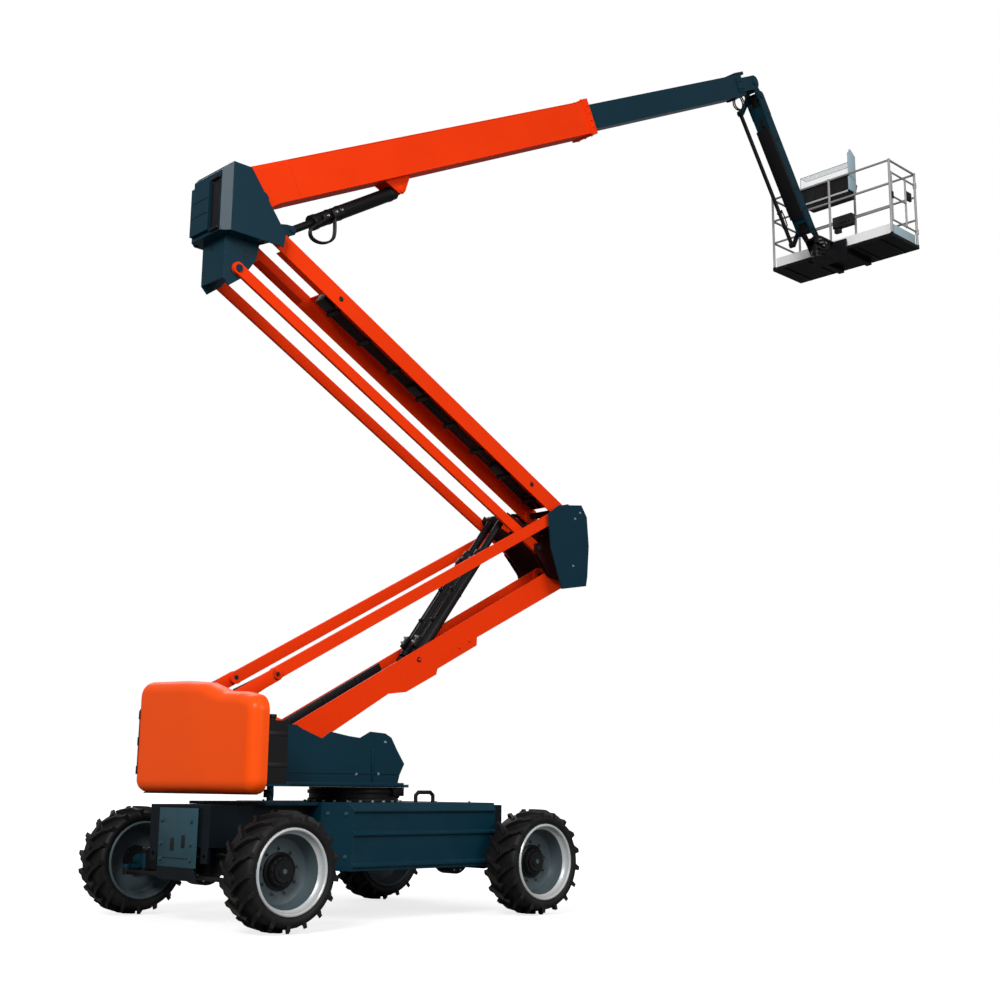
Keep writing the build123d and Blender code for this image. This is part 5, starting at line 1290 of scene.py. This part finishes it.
        # valve box on the rear rails beside the rotator, with its ports
        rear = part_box("platform_rails")[0].x
        made.box((rear - 0.090, -0.400, mount_top + 0.16), (rear - 0.004, -0.100, mount_top + 0.32))
        made.box((rear - 0.070, -0.200, mount_top + 0.10), (rear - 0.010, -0.110, mount_top + 0.17))
        z = mount_top + 0.22
        for y in (-0.36, -0.30, -0.24):
            made.bar((rear - 0.088, y, z), (rear - 0.112, y, z), 0.017, 20, 0.014)
        made.piece("platform_valves", "plastic", "platform", bevel=0.005)
        for dx, dz in ((-0.07, -0.03), (-0.02, 0.02), (-0.17, 0.03), (-0.13, -0.005)):
            ports.fitting((x + dx, -0.140, middle + dz), -ACROSS, 0.011)
        ports.piece("rotator_ports", "bolt", "platform_bracket")
        for index, (dx, dz) in enumerate(((-0.07, -0.03), (-0.02, 0.02))):
            start = x + dx
            points = [(start, -0.165, middle + dz), (start, -0.200, middle + dz - 0.01),
                      (start - 0.02, -0.215, middle + dz - 0.07), (start - 0.08, -0.190, middle - 0.12),
                      (start - 0.13, -0.140, middle - 0.09), (start - 0.12, -0.095, middle - 0.03)]
            hose(f"rotator_hose_{index + 1}", points, diameter, "platform_bracket")


LAMPS = (("key", (-17, -11, 15), 8, 4700), ("fill", (3, -22, 11), 12, 1900), ("back", (6, 16, 15), 10, 700))
LAMP_AIM = Vector((1.5, 0, 3.5))
CAMERA_PLACE = Vector((-7.798, -10.069, 1.075))
CAMERA_TURN, CAMERA_LIFT, CAMERA_ROLL = (math.radians(angle) for angle in (-44.060, 11.548, 0.554))
CAMERA_LENS = 50.82


class LIFT_OT_stage(PieceOperator):
    """Floor, lamps and camera"""
    bl_idname = "lift.stage"
    bl_label = "Stage"

    def execute(self, context):
        scene = context.scene
        scene.view_settings.view_transform = "Standard"
        bm = bmesh.new()
        bmesh.ops.create_grid(bm, x_segments=1, y_segments=1, size=400)
        mesh = bpy.data.meshes.new("floor")
        bm.to_mesh(mesh)
        bm.free()
        floor = bpy.data.objects.new("floor", mesh)
        scene.collection.objects.link(floor)
        floor.location.z = -0.001
        mesh.materials.append(self.floor_material())
        self.world(scene)
        for name, place, size, power in LAMPS:
            data = bpy.data.lights.new(name, "AREA")
            data.energy, data.size = power, size
            lamp = bpy.data.objects.new(name, data)
            lamp.location = place
            lamp.rotation_mode = "QUATERNION"
            lamp.rotation_quaternion = (LAMP_AIM - Vector(place)).to_track_quat("-Z", "Y")
            scene.collection.objects.link(lamp)
        self.camera(scene)
        return {"FINISHED"}

    def floor_material(self):
        """A pale floor that shows its own shadows softly."""
        material = bpy.data.materials.new("pale floor")
        material.use_nodes = True
        tree = material.node_tree
        seen = add_node(tree, "LightPath").outputs["Is Camera Ray"]
        # other rays meet a darker floor, so little light comes up from it
        shader = set_inputs(tree, tree.nodes["Principled BSDF"], Roughness=0.9,
                            Base_Color=mix_colour(tree, seen, (0.20, 0.20, 0.20), (0.80, 0.80, 0.80)))
        glow = add_node(tree, "Emission", Color=(1, 1, 1), Strength=1.35)
        # plain white away from the machine, where its shadow is out
        away = add_node(tree, "VectorMath")
        away.operation = "LENGTH"
        feed(tree, away.inputs[0], add_node(tree, "NewGeometry").outputs["Position"])
        beyond = math_node(tree, "SUBTRACT", away.outputs["Value"], 1.6)
        share = math_node(tree, "MULTIPLY", beyond, 0.2, clamp=True)
        share = math_node(tree, "ADD", math_node(tree, "MULTIPLY", share, 0.42), 0.58)
        blend_shaders(tree, math_node(tree, "MULTIPLY", seen, share), shader.outputs[0], glow.outputs[0],
                      tree.nodes["Material Output"])
        return material

    def world(self, scene):
        """A white backdrop for the camera, and a dimmer sky for all else."""
        world = bpy.data.worlds.new("studio")
        scene.world = world
        world.use_nodes = True
        tree = world.node_tree
        sky = set_inputs(tree, tree.nodes["Background"], Color=(0.95, 0.97, 1.0), Strength=0.32)
        white = add_node(tree, "Background", Color=(1, 1, 1))
        rays = add_node(tree, "LightPath").outputs
        seen = math_node(tree, "ADD", rays["Is Camera Ray"], rays["Is Transmission Ray"], clamp=True)
        blend_shaders(tree, seen, sky.outputs[0], white.outputs[0], tree.nodes["World Output"])

    def camera(self, scene):
        """A low view from the near rear corner, looking up along the booms."""
        flat = math.cos(CAMERA_LIFT)
        ahead = Vector((-math.sin(CAMERA_TURN) * flat, math.cos(CAMERA_TURN) * flat, math.sin(CAMERA_LIFT)))
        right = Vector((math.cos(CAMERA_TURN), math.sin(CAMERA_TURN), 0))
        top = right.cross(ahead)
        x = right * math.cos(CAMERA_ROLL) + top * math.sin(CAMERA_ROLL)
        y = top * math.cos(CAMERA_ROLL) - right * math.sin(CAMERA_ROLL)
        data = bpy.data.cameras.new("camera")
        data.sensor_width, data.lens = 36, CAMERA_LENS
        data.clip_start, data.clip_end = 0.1, 1500
        camera = bpy.data.objects.new("camera", data)
        camera.matrix_world = Matrix.Translation(CAMERA_PLACE) @ Matrix((x, y, -ahead)).transposed().to_4x4()
        scene.collection.objects.link(camera)
        scene.camera = camera


class LIFT_PT_panel(bpy.types.Panel):
    """The pieces and settings of the boom lift"""
    bl_label = "Boom lift"
    bl_idname = "LIFT_PT_panel"
    bl_space_type = "VIEW_3D"
    bl_region_type = "UI"
    bl_category = "Boom lift"

    def draw(self, context):
        settings = context.scene.boom_lift
        for group in (settings.colours, settings.sizes):
            for key in group.__annotations__:
                self.layout.prop(group, key)
        for operator in OPERATORS:
            self.layout.operator(operator.bl_idname)


OPERATORS = (LIFT_OT_stage, LIFT_OT_finishes, LIFT_OT_wheels, LIFT_OT_chassis, LIFT_OT_axles,
             LIFT_OT_turntable, LIFT_OT_engine, LIFT_OT_riser, LIFT_OT_boom, LIFT_OT_jib, LIFT_OT_platform)
CLASSES = (LiftColours, LiftSizes, LiftSettings, *OPERATORS, LIFT_PT_panel)


def register():
    for item in CLASSES:
        bpy.utils.register_class(item)
    bpy.types.Scene.boom_lift = PointerProperty(type=LiftSettings)


def unregister():
    del bpy.types.Scene.boom_lift
    for item in reversed(CLASSES):
        bpy.utils.unregister_class(item)


def main():
    register()
    for operator in OPERATORS:
        group, name = operator.bl_idname.split(".")
        getattr(getattr(bpy.ops, group), name)()


if __name__ == "__main__":
    main()
